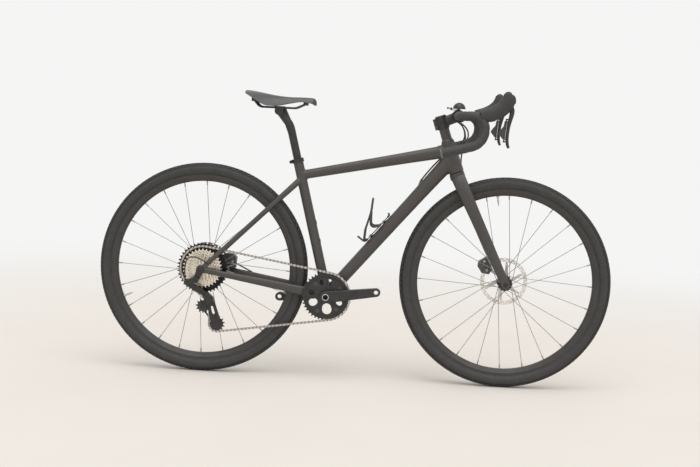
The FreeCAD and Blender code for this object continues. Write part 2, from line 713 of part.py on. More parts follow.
def fork_leg():
    """Left leg from the crown, round the tyre, down to the axle."""
    start = CROWN - STEER_UP * 12
    return tapered_tube(start, FRONT, [(0.0, 15, 23, 13, 2.2), (0.07, 31, 23, 13, 2.3),
                                       (0.15, 41.5, 22, 11, 2.4),
                                       (0.5, 49.5, 18.5, 9, 2.4), (0.85, FORK_Y - 1, 15.5, 7.5, 2.4),
                                       (1.0, FORK_Y, LEG_HALF, 6.8, 2.4)])


def fork():
    """Crown, two legs and hollow steerer, with the axle bores."""
    dropout = disc(FRONT, FRONT_HUB_W / 2, FRONT_HUB_W / 2 + 14, LEG_HALF)
    crown = cylinder(CROWN - STEER_UP * CROWN_H, CROWN - STEER_UP * RUN_GAP, CROWN_R)
    crown = crown.makeFillet(5, [crown.Edges[0], crown.Edges[2]])
    steerer = cylinder(CROWN - STEER_UP * 5, steer_point(STEM_TOP - 3), STEERER_R)
    port = cylinder(FORK_PORT - STEER_UP * 18, FORK_PORT, 4.2)
    body = fused([crown, steerer, port] + both_sides(fork_leg()) + both_sides(dropout))
    body = body.cut(disc(FRONT, -FRONT_HUB_W, FRONT_HUB_W, THRU_AXLE_R + SEAT_GAP))
    inside = Part.makeBox(60, FRONT_HUB_W, 60, FRONT - Vec(30, FRONT_HUB_W / 2, 30))
    return body.cut(inside).cut(cylinder(steer_point(-10), steer_point(STEM_TOP), STEERER_R - 3))


def headset():
    """Lower and upper bearing, cover and spacers, all on the steerer."""
    bore = STEERER_R + SEAT_GAP
    cover_low = HEAD_TUBE_LENGTH + RUN_GAP
    cover_high = HEAD_TUBE_LENGTH + 9
    spacer_r = STEERER_R + 2.6

    def sleeve(low, high, low_r, high_r):
        length = high - low
        if low_r == high_r:
            body = Part.makeCylinder(low_r, length, steer_point(low), STEER_UP)
        else:
            body = Part.makeCone(low_r, high_r, length, steer_point(low), STEER_UP)
        return body.cut(cylinder(steer_point(low - 5), steer_point(high + 5), bore))

    half = (STEM_FOOT - cover_high) / 2
    return Part.makeCompound([
        sleeve(0, BEARING_H - SEAT_GAP, LOW_BEARING_R, LOW_BEARING_R),
        sleeve(HEAD_TUBE_LENGTH - BEARING_H + SEAT_GAP, HEAD_TUBE_LENGTH, TOP_BEARING_R, TOP_BEARING_R),
        sleeve(cover_low, cover_high - SEAT_GAP, HEAD_TUBE_R_TOP - 1, spacer_r),
        sleeve(cover_high, cover_high + half - SEAT_GAP, spacer_r, spacer_r),
        sleeve(cover_high + half, STEM_FOOT - SEAT_GAP, spacer_r, spacer_r)])


# Stem and handlebar

STEM_ANGLE = 90 - HEAD_ANGLE + STEM_RISE
STEM_ROOT = steer_point(STEM_FOOT + STEM_HEIGHT / 2)
BAR = STEM_ROOT + slope(STEM_ANGLE) * STEM_LENGTH
STEM_CLAMP_R = 20.0
FACE_R = 21.5
FACE_HALF = 23.0
FACE_GAP = 1.6
FACE_BOLT_Y = 16.0
FACE_BOLT_RISE = 18.6


def stem_block():
    """Stem before it is split at the bar: steerer clamp, arm and bar clamp."""
    steerer_clamp = cylinder(steer_point(STEM_FOOT), steer_point(STEM_TOP), STEM_CLAMP_R)
    arm = lofted([(STEM_ROOT, STEM_ANGLE, 18.5, 17, 3.0),
                  (STEM_ROOT + slope(STEM_ANGLE) * 30, STEM_ANGLE, 17, 16, 3.0),
                  (BAR, STEM_ANGLE, 19, 20, 3.0)])
    ear = steer_point(STEM_FOOT + STEM_HEIGHT / 2) - STEER_FORWARD * (STEM_CLAMP_R + 1)
    ears = Part.makeBox(14, 22, STEM_HEIGHT - 4, Vec(-7, -11, -STEM_HEIGHT / 2 + 2))
    ears.rotate(Vec(0, 0, 0), SIDE, HEAD_ANGLE - 90)
    return fused([steerer_clamp, arm, disc(BAR, -FACE_HALF, FACE_HALF, FACE_R), ears.translated(ear)])


def front_half(offset):
    """Space ahead of the bar clamp's split, for cutting."""
    box = Part.makeBox(80, 120, 120, Vec(offset, -60, -60))
    box.rotate(Vec(0, 0, 0), SIDE, -STEM_ANGLE)
    return box.translated(BAR)


def face_bolt_lines():
    """Axes of the four faceplate bolts, as points on the split plane."""
    rise = slope(STEM_ANGLE + 90) * FACE_BOLT_RISE
    return [BAR + rise * up + SIDE * (FACE_BOLT_Y * across) for up in (-1, 1) for across in (-1, 1)]


def pinch_bolt_points():
    """Middles of the two cross bolts behind the steerer."""
    back = STEER_FORWARD * (STEM_CLAMP_R + 3)
    return [steer_point(STEM_FOOT + STEM_HEIGHT * share) - back for share in (0.27, 0.73)]


def stem():
    body = stem_block().cut(front_half(0))
    body = body.cut(disc(BAR, -60, 60, BAR_CLAMP_R + SEAT_GAP))
    body = body.cut(cylinder(steer_point(STEM_FOOT - 9), steer_point(STEM_TOP + 9), STEERER_R + SEAT_GAP))
    slit = Part.makeBox(40, 1.6, STEM_HEIGHT + 20, Vec(-40, -0.8, -STEM_HEIGHT / 2 - 10))
    slit.rotate(Vec(0, 0, 0), SIDE, HEAD_ANGLE - 90)
    cutters = [slit.translated(STEM_ROOT)]
    for point in pinch_bolt_points():
        cutters.append(disc(point, -20, 20, 2.5 + SEAT_GAP))
    for point in face_bolt_lines():
        along = slope(STEM_ANGLE)
        cutters.append(cylinder(point - along * 11, point + along * 9, 2.0 + SEAT_GAP))
    return body.cut(Part.makeCompound(cutters))


def stem_faceplate():
    ahead = slope(STEM_ANGLE)
    parts = [disc(BAR, -FACE_HALF, FACE_HALF, FACE_R)]
    for point in face_bolt_lines():
        parts.append(cylinder(point, point + ahead * 9, 4.8))
    body = fused(parts).common(front_half(FACE_GAP))
    cutters = [disc(BAR, -60, 60, BAR_CLAMP_R + SEAT_GAP)]
    for point in face_bolt_lines():
        cutters.append(cylinder(point - ahead * 9, point + ahead * 19, 2.0 + SEAT_GAP))
        cutters.append(cylinder(point + ahead * 9, point + ahead * 29, 3.8))
    window = disc(BAR + ahead * FACE_R, -9, 9, 9.0)
    return body.cut(Part.makeCompound(cutters + [window]))


def screw(seat, inward, radius, length, head_r, head_h):
    """Socket screw whose head rests on seat and whose shank points inward."""
    shank = cylinder(seat, seat + inward * length, radius)
    body = fused([shank, cylinder(seat - inward * head_h, seat, head_r)])
    return body.cut(cylinder(seat - inward * (head_h + 1), seat - inward * (head_h * 0.4), head_r * 0.5))


def stem_bolts():
    """Four faceplate screws, two pinch screws and the steerer's top cap with its screw."""
    ahead = slope(STEM_ANGLE)
    solids = []
    for point in face_bolt_lines():
        solids.append(screw(point + ahead * (9 + SEAT_GAP), ahead * -1, 2.0, 18, 3.6, 3.0))
    for side, point in zip((-1, 1), pinch_bolt_points()):
        seat = point + SIDE * (side * (11 + SEAT_GAP))
        solids.append(screw(seat, SIDE * -side, 2.5, 20, 4.2, 3.4))
    cap = cylinder(steer_point(STEM_TOP + SEAT_GAP), steer_point(STEM_TOP + 4), STEM_CLAMP_R - 2)
    cap = cap.makeFillet(1.5, [cap.Edges[0]])
    cap = cap.cut(cylinder(steer_point(STEM_TOP + 1.5), steer_point(STEM_TOP + 9), 4.6))
    solids.append(cap.cut(cylinder(steer_point(STEM_TOP - 9), steer_point(STEM_TOP + 9), 2.5 + SEAT_GAP)))
    solids.append(screw(steer_point(STEM_TOP + 1.5 + SEAT_GAP), STEER_UP * -1, 2.5, 20, 4.4, 2.4))
    return Part.makeCompound(solids)


BAR_BULGE_HALF = 54.0
TAPE_START = 67.0
TOP_BEND_R = 38.0
HOOK_TOP_R = 40.0
HOOK_LOW_R = 56.0
RAMP_RISE = 4.0


def bar_points(start_y):
    """Corners of the left half of the bar, from the top to the end of the drop."""
    half = BAR_WIDTH / 2
    reach_end = BAR + Vec(BAR_REACH, half, RAMP_RISE)
    low = reach_end + Vec(-1, BAR_FLARE * 0.5, RAMP_RISE - 2 - BAR_DROP)
    tail = slope(180 + DROP_TAIL_SLOPE) * DROP_TAIL
    end = low + tail + SIDE * (BAR_FLARE * 0.65)
    return [BAR + SIDE * start_y, BAR + SIDE * (half - 4), reach_end, low, end]


def bar_rod(start_y, radius):
    return rod(bar_points(start_y), [TOP_BEND_R, HOOK_TOP_R, HOOK_LOW_R], radius)


def handlebar():
    half = bar_rod(0, BAR_R)
    bulge = disc(BAR, -BAR_BULGE_HALF, BAR_BULGE_HALF, BAR_CLAMP_R)
    run = TAPE_START - BAR_BULGE_HALF - 2
    taper = Part.makeCone(BAR_CLAMP_R, BAR_R, run, BAR + SIDE * BAR_BULGE_HALF, SIDE)
    return fused(both_sides(half) + [bulge] + both_sides(taper))


PLUG_T = 4.0


def bar_tape():
    """Padded tape on each half of the bar, and the plugs in the bar ends."""
    tape = bar_rod(TAPE_START, TAPE_R).cut(bar_rod(TAPE_START - 5, BAR_R + SEAT_GAP))
    points = bar_points(TAPE_START)
    end = points[-1]
    along = (end - points[-2]).normalize()
    plug = cylinder(end + along * SEAT_GAP, end + along * PLUG_T, TAPE_R - 0.5)
    return Part.makeCompound(both_sides(tape) + both_sides(plug))


# Brake hoods, levers and shift paddles, made on the left and mirrored

HOOD_Y = BAR_WIDTH / 2 + 1
LEVER_PIVOT = BAR + Vec(156, HOOD_Y, 38)
LEVER_HALF = 7.0
LEVER_BARREL_R = 9.0
HOOD_CROWN_R = 13.5


def bar_place(x, z):
    """Point in the hood's plane, from the middle of the bar clamp."""
    return BAR + Vec(x, HOOD_Y, z)


PADDLE_AXIS_LOW = bar_place(141.0, -72)
PADDLE_AXIS_HIGH = bar_place(146.5, -6)
LUG_T = 4.5
LUG_R = 3.2


def lever_blade():
    """Curved blade from the pivot down to a turned-out tip."""
    return lofted([(bar_place(158, 38), -88, 8, LEVER_HALF, 2.4),
                   (bar_place(162, 14), -97, 7.5, LEVER_HALF, 2.4),
                   (bar_place(154.5, -24), -100, 5.5, 6.5, 2.4), (bar_place(151.5, -58), -93, 5, 6.5, 2.4),
                   (bar_place(152.5, -80), -80, 5, 7, 2.4), (bar_place(158, -94), -62, 4, 6, 2.2)])


def paddle_lug(end, outward):
    """Ear behind the blade that closes off one end of the paddle's barrel."""
    near = end + outward * RUN_GAP
    far = near + outward * LUG_T
    ear = cylinder(near, far, LUG_R)
    root = Vec(12, 0, 0)
    wall = Part.Face(Part.makePolygon([near - SIDE * LUG_R, near + SIDE * LUG_R, far + SIDE * LUG_R,
                                       far - SIDE * LUG_R, near - SIDE * LUG_R])).extrude(root)
    return [ear, wall]


def brake_lever():
    """Blade on its pivot barrel, with two ears for the shift paddle."""
    barrel = disc(LEVER_PIVOT, HOOD_Y - LEVER_HALF, HOOD_Y + LEVER_HALF, LEVER_BARREL_R)
    along = (PADDLE_AXIS_HIGH - PADDLE_AXIS_LOW).normalize()
    lugs = paddle_lug(PADDLE_AXIS_HIGH, along) + paddle_lug(PADDLE_AXIS_LOW, along * -1)
    body = fused([barrel, lever_blade()] + lugs)
    return body.cut(disc(LEVER_PIVOT, HOOD_Y - 30, HOOD_Y + 30, 3.0 + SEAT_GAP))


def hood():
    """Grip body with a raised horn, slotted below for the lever, on a cross pin."""
    body = lofted([(bar_place(64, 5), 4, 19, 18, 2.2), (bar_place(92, 9), 16, 23.5, 17.5, 2.3),
                   (bar_place(118, 19), 32, 25, 17, 2.3), (bar_place(140, 37), 48, 24.5, 16.5, 2.3),
                   (bar_place(152, 60), 70, 22.5, 15.5, 2.3), (bar_place(150, 76), 84, 16, 12, 2.2)])
    top = Part.makeSphere(HOOD_CROWN_R, bar_place(148, 85 - HOOD_CROWN_R))
    body = fused([body, top])
    slot_half = LEVER_HALF + RUN_GAP + 0.2
    barrel = disc(LEVER_PIVOT, HOOD_Y - slot_half, HOOD_Y + slot_half, LEVER_BARREL_R + 1)
    corner = Vec(LEVER_PIVOT.x, HOOD_Y - slot_half, LEVER_PIVOT.z)
    sweep = [corner + slope(160) * (LEVER_BARREL_R + 1), corner + slope(228) * 75, corner + slope(262) * 110,
             corner + slope(290) * 90, corner + slope(20) * 40]
    mouth = Part.Face(Part.makePolygon(sweep + sweep[:1])).extrude(SIDE * (2 * slot_half))
    body = body.cut(barrel).cut(mouth).cut(bar_rod(TAPE_START, TAPE_R + SEAT_GAP))
    pin = disc(LEVER_PIVOT, HOOD_Y - slot_half - 2, HOOD_Y + slot_half + 2, 3.0)
    return fused([body, pin])


PADDLE_T = 3.0


def shift_paddle():
    """Wing behind the blade, on a thin barrel that it swings about."""
    y = HOOD_Y - PADDLE_T / 2
    outline = [bar_place(148, -8), bar_place(144, -70), bar_place(136, -66), bar_place(122, -48),
               bar_place(128, -38), bar_place(138, -26), bar_place(141, -8)]
    flat = [Vec(point.x, y, point.z) for point in outline]
    wing = Part.Face(Part.makePolygon(flat + flat[:1])).extrude(SIDE * PADDLE_T)
    corners = [edge for edge in wing.Edges if abs(edge.tangentAt(edge.FirstParameter).y) > 0.99]
    wing = wing.makeFillet(1.6, corners)
    return fused([wing, cylinder(PADDLE_AXIS_LOW, PADDLE_AXIS_HIGH, 2.4)])


# Bell

BELL_Y = -47.5
BELL_R = 21.0
BELL_FOOT = Vec(BAR.x, BELL_Y, BAR.z + BAR_CLAMP_R + 4)
STRIKER_AT = BELL_FOOT + Vec(-BELL_R - 5.0, 0, 3)


def bell():
    """Band on the bar, post and domed cup."""
    band = ring(BAR, BELL_Y - 4, BELL_Y + 4, BAR_CLAMP_R + 4, BAR_CLAMP_R + SEAT_GAP)
    plate = Part.makeBox(BELL_R + 12, 8, 2.4, BELL_FOOT + Vec(-BELL_R - 9, -4, -1))
    cup = Part.makeSphere(BELL_R, BELL_FOOT + UP * 4).cut(Part.makeSphere(BELL_R - 1.4, BELL_FOOT + UP * 4))
    lower = Part.makeBox(60, 60, 60, BELL_FOOT + Vec(-30, -30, -56))
    cup = cup.cut(lower)
    post = cylinder(BELL_FOOT - UP * 2, BELL_FOOT + UP * (BELL_R + 3.4), 3.0)
    pin = cylinder(STRIKER_AT - UP * 3, STRIKER_AT + UP * 5, 1.4)
    return fused([band, post, plate, cup, pin])


def bell_striker():
    """Thumb arm on an upright pin, with a small hammer beside the cup."""
    body = cylinder(STRIKER_AT - UP * 1.2, STRIKER_AT + UP * 4.5, 3.2)
    arm = cylinder(STRIKER_AT + UP * 1.6, STRIKER_AT + Vec(-12, -8, 3), 1.6)
    knob = Part.makeSphere(3.2, STRIKER_AT + Vec(-12, -8, 3))
    return fused([body, arm, knob]).cut(cylinder(STRIKER_AT - UP * 9, STRIKER_AT + UP * 9, 1.4 + SEAT_GAP))


# Seatpost and saddle

POST_HEAD_R = 13.0
POST_HEAD_HALF = 17.0
POST_BEND_R = 70.0
POST_NECK_HALF = 10.0
CLAMP_R = 14.5
CLAMP_T = 11.0
RAIL_LIFT = 10.5
CLAMP = SEAT_TOP + SEAT_UP * POST_EXPOSED - SEAT_FORWARD * POST_SETBACK


def seatpost():
    """Straight post that curves back into a cross barrel for the saddle clamp."""
    foot = SEAT_TOP - SEAT_UP * POST_INSERTION
    bend = SEAT_TOP + SEAT_UP * (POST_EXPOSED - POST_SETBACK * 2.2)
    post = rod([foot, bend, CLAMP], [POST_BEND_R], POST_R)
    head = disc(CLAMP, -POST_HEAD_HALF, POST_HEAD_HALF, POST_HEAD_R + 1)
    neck_foot = SEAT_TOP + SEAT_UP * (POST_EXPOSED - POST_SETBACK * 3)
    neck_top = CLAMP + SEAT_FORWARD * (POST_SETBACK * 0.52)
    neck = hull(neck_foot, POST_R - 0.5, neck_top, POST_HEAD_R - 3, -POST_NECK_HALF, POST_NECK_HALF)
    body = fused([post, head, neck])
    return body.cut(disc(CLAMP, -40, 40, 4.0 + SEAT_GAP))


def saddle_point(x, y, z):
    """Point of the saddle, from the clamp's cross bolt."""
    return CLAMP + Vec(x, y, z)


def saddle_stations():
    """Sections from tail to nose: (x, half width, crown height, edge height)."""
    tail = -SADDLE_LENGTH * 0.483
    nose = SADDLE_LENGTH * 0.512
    half = SADDLE_WIDTH / 2
    return [(tail, half * 0.42, 63, 57), (tail * 0.93, half * 0.80, 65, 52), (tail * 0.68, half, 62.5, 36),
            (tail * 0.38, half * 0.94, 57, 19), (tail * 0.06, half * 0.66, 52, 19),
            (nose * 0.25, half * 0.42, 49.5, 26), (nose * 0.58, half * 0.29, 49.5, 31),
            (nose * 0.86, half * 0.24, 47.5, 33), (nose, half * 0.12, 39, 34)]


def crescent(x, half, crown, edge, under):
    """Section of a domed shell between an upper and a lower arc."""
    left = saddle_point(x, half, edge)
    right = saddle_point(x, -half, edge)
    upper = Part.Arc(left, saddle_point(x, 0, crown), right).toShape()
    lower = Part.Arc(right, saddle_point(x, 0, under), left).toShape()
    return Part.Wire([upper, lower])


PAD_SHARE = 0.42
SHELL_T = 3.0


def saddle_cover():
    """Padded cover, thick along the middle and thin at its edges."""
    sections = []
    for x, half, crown, edge in saddle_stations():
        sections.append(crescent(x, half, crown, edge, crown - (crown - edge) * PAD_SHARE))
    return Part.makeLoft(sections, True, False)


def saddle_base():
    """Shell under the padding, a little smaller than the cover, with sockets for the rail ends."""
    sections = []
    for x, half, crown, edge in saddle_stations()[1:-1]:
        under = crown - (crown - edge) * PAD_SHARE
        top = under - RUN_GAP - 0.1
        inner = half * 0.9
        drop = edge + (under - edge) * (1 - 0.9**2) - 1.0
        sections.append(crescent(x, inner, top, drop, max(top - SHELL_T, drop + 0.8)))
    rear_y = RAIL_SPACING / 2 + RAIL_SPREAD
    rear_socket = Part.makeBox(16, 15, 18.3, saddle_point(-92, rear_y - 7.5, 28))
    front_socket = Part.makeBox(16, 26, 15.5, saddle_point(80, -13, 21))
    body = fused([Part.makeLoft(sections, True, False), front_socket] + both_sides(rear_socket))
    return body.cut(Part.makeCompound(both_sides(saddle_rail(RAIL_R + SEAT_GAP))))


RAIL_SPREAD = 6.0


def saddle_rail(radius):
    """Left rail, low and straight in the clamp, rising to the shell at both ends."""
    half = RAIL_SPACING / 2
    return rod([saddle_point(-84, half + RAIL_SPREAD, 32), saddle_point(-66, half, RAIL_LIFT),
                saddle_point(56, half, RAIL_LIFT), saddle_point(88, 9, 26)], [22, 30], radius)


def saddle_rails():
    return Part.makeCompound(both_sides(saddle_rail(RAIL_R)))


def saddle_clamp():
    """Outer clamp on each rail and the cross bolt between them."""
    half = RAIL_SPACING / 2
    y_in = POST_HEAD_HALF + RUN_GAP
    y_out = y_in + CLAMP_T
    cap = disc(CLAMP, y_in, y_out, CLAMP_R)
    ear = Part.makeBox(32, CLAMP_T, 9, saddle_point(-16, y_in, RAIL_LIFT - 4))
    cap = fused([cap, ear])
    groove = (saddle_point(-40, half, RAIL_LIFT), saddle_point(40, half, RAIL_LIFT))
    cap = cap.cut(cylinder(*groove, RAIL_R + SEAT_GAP))
    cap = cap.cut(disc(CLAMP, 0, 60, 4.0 + SEAT_GAP))
    bolt = fused([disc(CLAMP, -y_out - 3, y_out + 3, 4.0), disc(CLAMP, -y_out - 4, -y_out - SEAT_GAP, 6.5),
                  disc(CLAMP, y_out + SEAT_GAP, y_out + 4, 6.5)])
    return Part.makeCompound(both_sides(cap) + [bolt.cut(disc(CLAMP, -y_out - 6, -y_out - 1, 2.5))])


# Hoses and housing

HOSE_R = 2.5
HOSE_DROP = BAR_CLAMP_R + HOSE_R + RUN_GAP


def front_brake_hose():
    """From the left end of the bar tape, down ahead of the head tube, into the fork."""
    start = BAR + Vec(0, TAPE_START - 3, -HOSE_DROP)
    above = FORK_PORT + STEER_UP * 42 + STEER_FORWARD * 4
    return rod([start, BAR + Vec(20, 55, -30), BAR + Vec(33, 36, -74), above,
                FORK_PORT + STEER_UP * RUN_GAP], [18, 40, 60], HOSE_R)


def head_hose(start_y, ahead, beside_y, port_y):
    """From the right of the bar, across ahead of the head tube, round its left, into the down tube."""
    start = BAR + Vec(0, -start_y, -HOSE_DROP)
    port = down_point(PORT_ALONG + RUN_GAP, PORT_LIFT, port_y)
    before = down_point(PORT_ALONG + 62, PORT_LIFT + 4, port_y + 6)
    beside = steer_point(76) + SIDE * beside_y
    bend = BAR + Vec(ahead - 8, 12 - start_y, -34)
    cross = BAR + Vec(ahead, beside_y - 12, -82)
    return rod([start, bend, cross, beside, before, port], [18, 30, 24, 40], HOSE_R)


def rear_brake_hose():
    """Hose from the bar to the frame, and its short end between chainstay and rear caliper."""
    back = slope(heading(REAR, BB))
    away = slope(heading(REAR, BB) + 90)
    start = REAR + back * 152 + away * 14.8 + SIDE * 60
    end = REAR + back * 106 + away * 26 + SIDE * 58
    tail = rod([start, start - back * 22 + away * 4, end], [30], HOSE_R)
    return Part.makeCompound([head_hose(TAPE_START - 3, 40, 38, 12), tail])


DERAILLEUR_Y = -(REAR_HUB_W / 2 + DROPOUT_T + 5)
KNUCKLE_TOP = REAR + Vec(-13, 0, -33)
KNUCKLE_BACK = REAR + Vec(-42, 0, -44)
KNUCKLE_FRONT = REAR + Vec(16, 0, -86)
CAGE_PIVOT = REAR + Vec(30, 0, -104)


def shift_housing():
    """Housing from the bar to the frame, and its loop from the stay end to the derailleur."""
    y = -STAY_Y - DROPOUT_T / 2 - HOSE_R + 0.6
    loop = rod([REAR + Vec(24, y, 22), REAR + Vec(-22, y - 5, 52), REAR + Vec(-56, y - 9, 26),
                KNUCKLE_BACK + Vec(-8, y - 10, 11.6)], [26, 24], HOSE_R - 0.3)
    return Part.makeCompound([head_hose(TAPE_START - 10, 28, 31, 4), loop])


# Cranks and chainring

ARM_ROOT_R = 20.0
ARM_END_R = 14.5
SPIDER_T = 5.5
RING_T = 3.6
TOOTH_T = 1.7
RING_WINDOW_R = 62.0
SPIDER_R = 65.0
# Each window: angle, distance of its two ends from the spindle, radius
SPIDER_WINDOWS = ((276.5, 38.0, 44.0, 16.0), (206.0, 44.0, 49.0, 13.0), (166.0, 47.0, 52.0, 8.0),
                  (337.0, 46.0, 51.0, 8.5), (110.0, 46.0, 54.0, 6.5), (78.0, 44.0, 53.0, 7.5))
ARM_OUT = Q_FACTOR / 2
ARM_IN = ARM_OUT - CRANK_T


def crank_arm(degrees):
    """Plain arm on the right, before its bores."""
    pedal = polar(BB, CRANK_LENGTH, degrees)
    arm = hull(BB, ARM_ROOT_R, pedal, ARM_END_R, -ARM_OUT, -ARM_IN)
    rim_edges = [edge for edge in arm.Edges if abs(edge.CenterOfMass.y + ARM_OUT) < 0.01]
    arm = arm.makeFillet(3.5, rim_edges)
    return arm.cut(disc(pedal, -ARM_OUT - 5, -ARM_IN + 5, PEDAL_BORE_R))


def bolt_places():
    return [polar(BB, BOLT_CIRCLE_R, CRANK_ANGLE + angle) for angle in SPIDER_ANGLES]


def right_crank():
    """Drive-side arm with its spider and hollow spindle in one piece."""
    face = -CHAINLINE - RING_T / 2 - SEAT_GAP
    inner = -BB_SHELL_W / 2 - CUP_FLANGE_W - RUN_GAP
    parts = [crank_arm(CRANK_ANGLE), disc(BB, -ARM_IN - 1, inner, ARM_ROOT_R - 1),
             disc(BB, -ARM_IN - 1, ARM_OUT - 2, SPINDLE_R)]
    plate = disc(BB, face - SPIDER_T, face, SPIDER_R)
    windows = []
    for angle, near, far, radius in SPIDER_WINDOWS:
        windows.append(hull(polar(BB, near, angle), radius - 1, polar(BB, far, angle), radius,
                            face - SPIDER_T - 1, face + 1))
    parts.append(plate.cut(Part.makeCompound(windows)))
    brace = polar(BB, BOLT_CIRCLE_R, CRANK_ANGLE)
    parts.append(hull(BB, ARM_ROOT_R, brace, ARM_ROOT_R - 3, -ARM_IN - 1, face))
    body = fused(parts)
    cutters = [disc(BB, -ARM_OUT - 5, ARM_OUT + 5, SPINDLE_R - 2.5)]
    for place in bolt_places():
        cutters.append(disc(place, face - SPIDER_T - 20, face + 1, 4.0 + SEAT_GAP))
        cutters.append(disc(place, face - SPIDER_T - 20, face - SPIDER_T, 6.4))
    return body.cut(Part.makeCompound(cutters))


def left_crank():
    """Far-side arm clamped on the spindle."""
    boss = disc(BB, -ARM_OUT, -BB_SHELL_W / 2 - CUP_FLANGE_W - RUN_GAP, ARM_ROOT_R - 1)
    arm = mirrored(fused([crank_arm(CRANK_ANGLE + 180), boss]))
    return arm.cut(disc(BB, 0, ARM_OUT + 5, SPINDLE_R + SEAT_GAP))


ROLLER_R = 3.86
ROLLER_GAP = 0.3
TOOTH_TIP = 2.4
TIP_HALF = 1.0


def pitch_radius(teeth):
    return CHAIN_PITCH / (2 * math.sin(math.pi / teeth))


def toothed(centre, teeth, roller_degrees, y, thickness):
    """Toothed disc about y, with a roller seat at the given angle."""
    pitch = pitch_radius(teeth)
    seat_r = ROLLER_R + ROLLER_GAP
    step = 360 / teeth
    tip_r = pitch + TOOTH_TIP
    tip_turn = math.degrees(TIP_HALF / tip_r)
    low = y - thickness / 2

    def seat_point_at(degrees, turn):
        return polar(polar(centre, pitch, degrees, low), seat_r, degrees + 180 + turn, low)

    edges = []
    for k in range(teeth):
        seat = roller_degrees + k * step
        ends = [seat_point_at(seat, -72), seat_point_at(seat, 0), seat_point_at(seat, 72)]
        ends = ends[::-1]
        middle = seat + step / 2
        tip = [polar(centre, tip_r, middle - tip_turn, low), polar(centre, tip_r, middle + tip_turn, low)]
        following = seat_point_at(seat + step, 72)
        edges.append(Part.Arc(*ends).toShape())
        edges.append(Part.LineSegment(ends[2], tip[0]).toShape())
        edges.append(Part.LineSegment(tip[0], tip[1]).toShape())
        edges.append(Part.LineSegment(tip[1], following).toShape())
    return Part.Face(Part.Wire(edges)).extrude(SIDE * thickness)


def chainring(roller_degrees):
    """Toothed ring with a thicker band and four inner tabs for its bolts."""
    low = -CHAINLINE - RING_T / 2
    high = -CHAINLINE + RING_T / 2
    root = pitch_radius(CHAINRING_TEETH) - ROLLER_R - 3.5
    parts = [toothed(BB, CHAINRING_TEETH, roller_degrees, -CHAINLINE, TOOTH_T), disc(BB, low, high, root)]
    body = fused(parts)
    window = disc(BB, low - 1, high + 1, RING_WINDOW_R)
    tabs = []
    for place in bolt_places():
        tabs.append(hull(place, 8.5, polar(BB, root - 9.5, heading(BB, place)), 9.5, low, high))
    body = fused([body.cut(window)] + tabs)
    holes = [disc(place, low - 1, high + 1, 4.0 + SEAT_GAP) for place in bolt_places()]
    return body.cut(Part.makeCompound(holes))


def chainring_bolts():
    """One bolt through spider and ring at each tab."""
    outer = -CHAINLINE - RING_T / 2 - SEAT_GAP - SPIDER_T - SEAT_GAP
    inner = -CHAINLINE + RING_T / 2 + SEAT_GAP
    bolts = []
    for place in bolt_places():
        bolt = fused([disc(place, outer - 1.6, inner + 1.6, 4.0), disc(place, inner, inner + 1.6, 6.0),
                      disc(place, outer - 1.6, outer, 6.0)])
        bolts.append(bolt.cut(disc(place, outer - 3, inner - 1, 2.4)))
    return Part.makeCompound(bolts)


# Cassette

FREEHUB_R = 17.0
COG_BORE_R = FREEHUB_R + SEAT_GAP
SPACER_R = 20.0


def cog_y(index):
    return BIG_COG_Y - index * COG_SPACING


def cog(index, roller_degrees):
    """One sprocket; large ones are opened between their arms."""
    teeth = CASSETTE_TEETH[index]
    body = toothed(REAR, teeth, roller_degrees, cog_y(index), COG_T)
    cutters = [disc(REAR, cog_y(index) - 3, cog_y(index) + 3, COG_BORE_R)]
    root = pitch_radius(teeth) - ROLLER_R - 4
    room = root - SPACER_R - 2
    if room > 12:
        middle = SPACER_R + 2 + room / 2
        for k in range(7):
            place = polar(REAR, middle, k * 360 / 7 + 12 * index)
            cutters.append(disc(place, cog_y(index) - 3, cog_y(index) + 3, min(room / 2, middle * 0.33)))
    return body.cut(Part.makeCompound(cutters))


def cassette(driven_degrees):
    """All sprockets, the spacers between them and the lockring."""
    solids = []
    for index, teeth in enumerate(CASSETTE_TEETH):
        phase = driven_degrees if teeth == DRIVEN_COG else 90 + index * 3
        solids.append(cog(index, phase))
        if index:
            low = cog_y(index) + COG_T / 2 + SEAT_GAP
            high = cog_y(index - 1) - COG_T / 2 - SEAT_GAP
            solids.append(ring(REAR, low, high, min(SPACER_R, pitch_radius(teeth) - ROLLER_R), COG_BORE_R))
    last = cog_y(len(CASSETTE_TEETH) - 1) - COG_T / 2 - SEAT_GAP
    solids.append(ring(REAR, last - 2.4, last, 16.5, HUB_CAP_R + 1.2))
    return Part.makeCompound(solids)


def freehub():
    """Ratchet body that carries the cassette on the axle sleeve."""
    start = REAR_FLANGES[1] - FLANGE_T / 2 - 0.6 - RUN_GAP
    end = cog_y(len(CASSETTE_TEETH) - 1) - COG_T / 2
    return ring(REAR, end, start, FREEHUB_R, HUB_SLEEVE_R + SEAT_GAP)


# Chain loop

GUIDE = REAR + Vec(GUIDE_PULLEY_AHEAD, 0, -GUIDE_PULLEY_BELOW)
DRIVEN_Y = cog_y(CASSETTE_TEETH.index(DRIVEN_COG))
LATERAL_HOLD = 1.3 * CHAIN_PITCH


def tangent(first, second):
    """Straight run between two wraps (centre, radius, sense); sense is 1 for anticlockwise."""
    centre_a, radius_a, sense_a = first
    centre_b, radius_b, sense_b = second
    across = sense_b * radius_b - sense_a * radius_a
    gap = (centre_b - centre_a).Length
    degrees = heading(centre_a, centre_b) - math.degrees(math.asin(across / gap))
    left = slope(degrees + 90)
    return centre_a - left * (sense_a * radius_a), centre_b - left * (sense_b * radius_b)


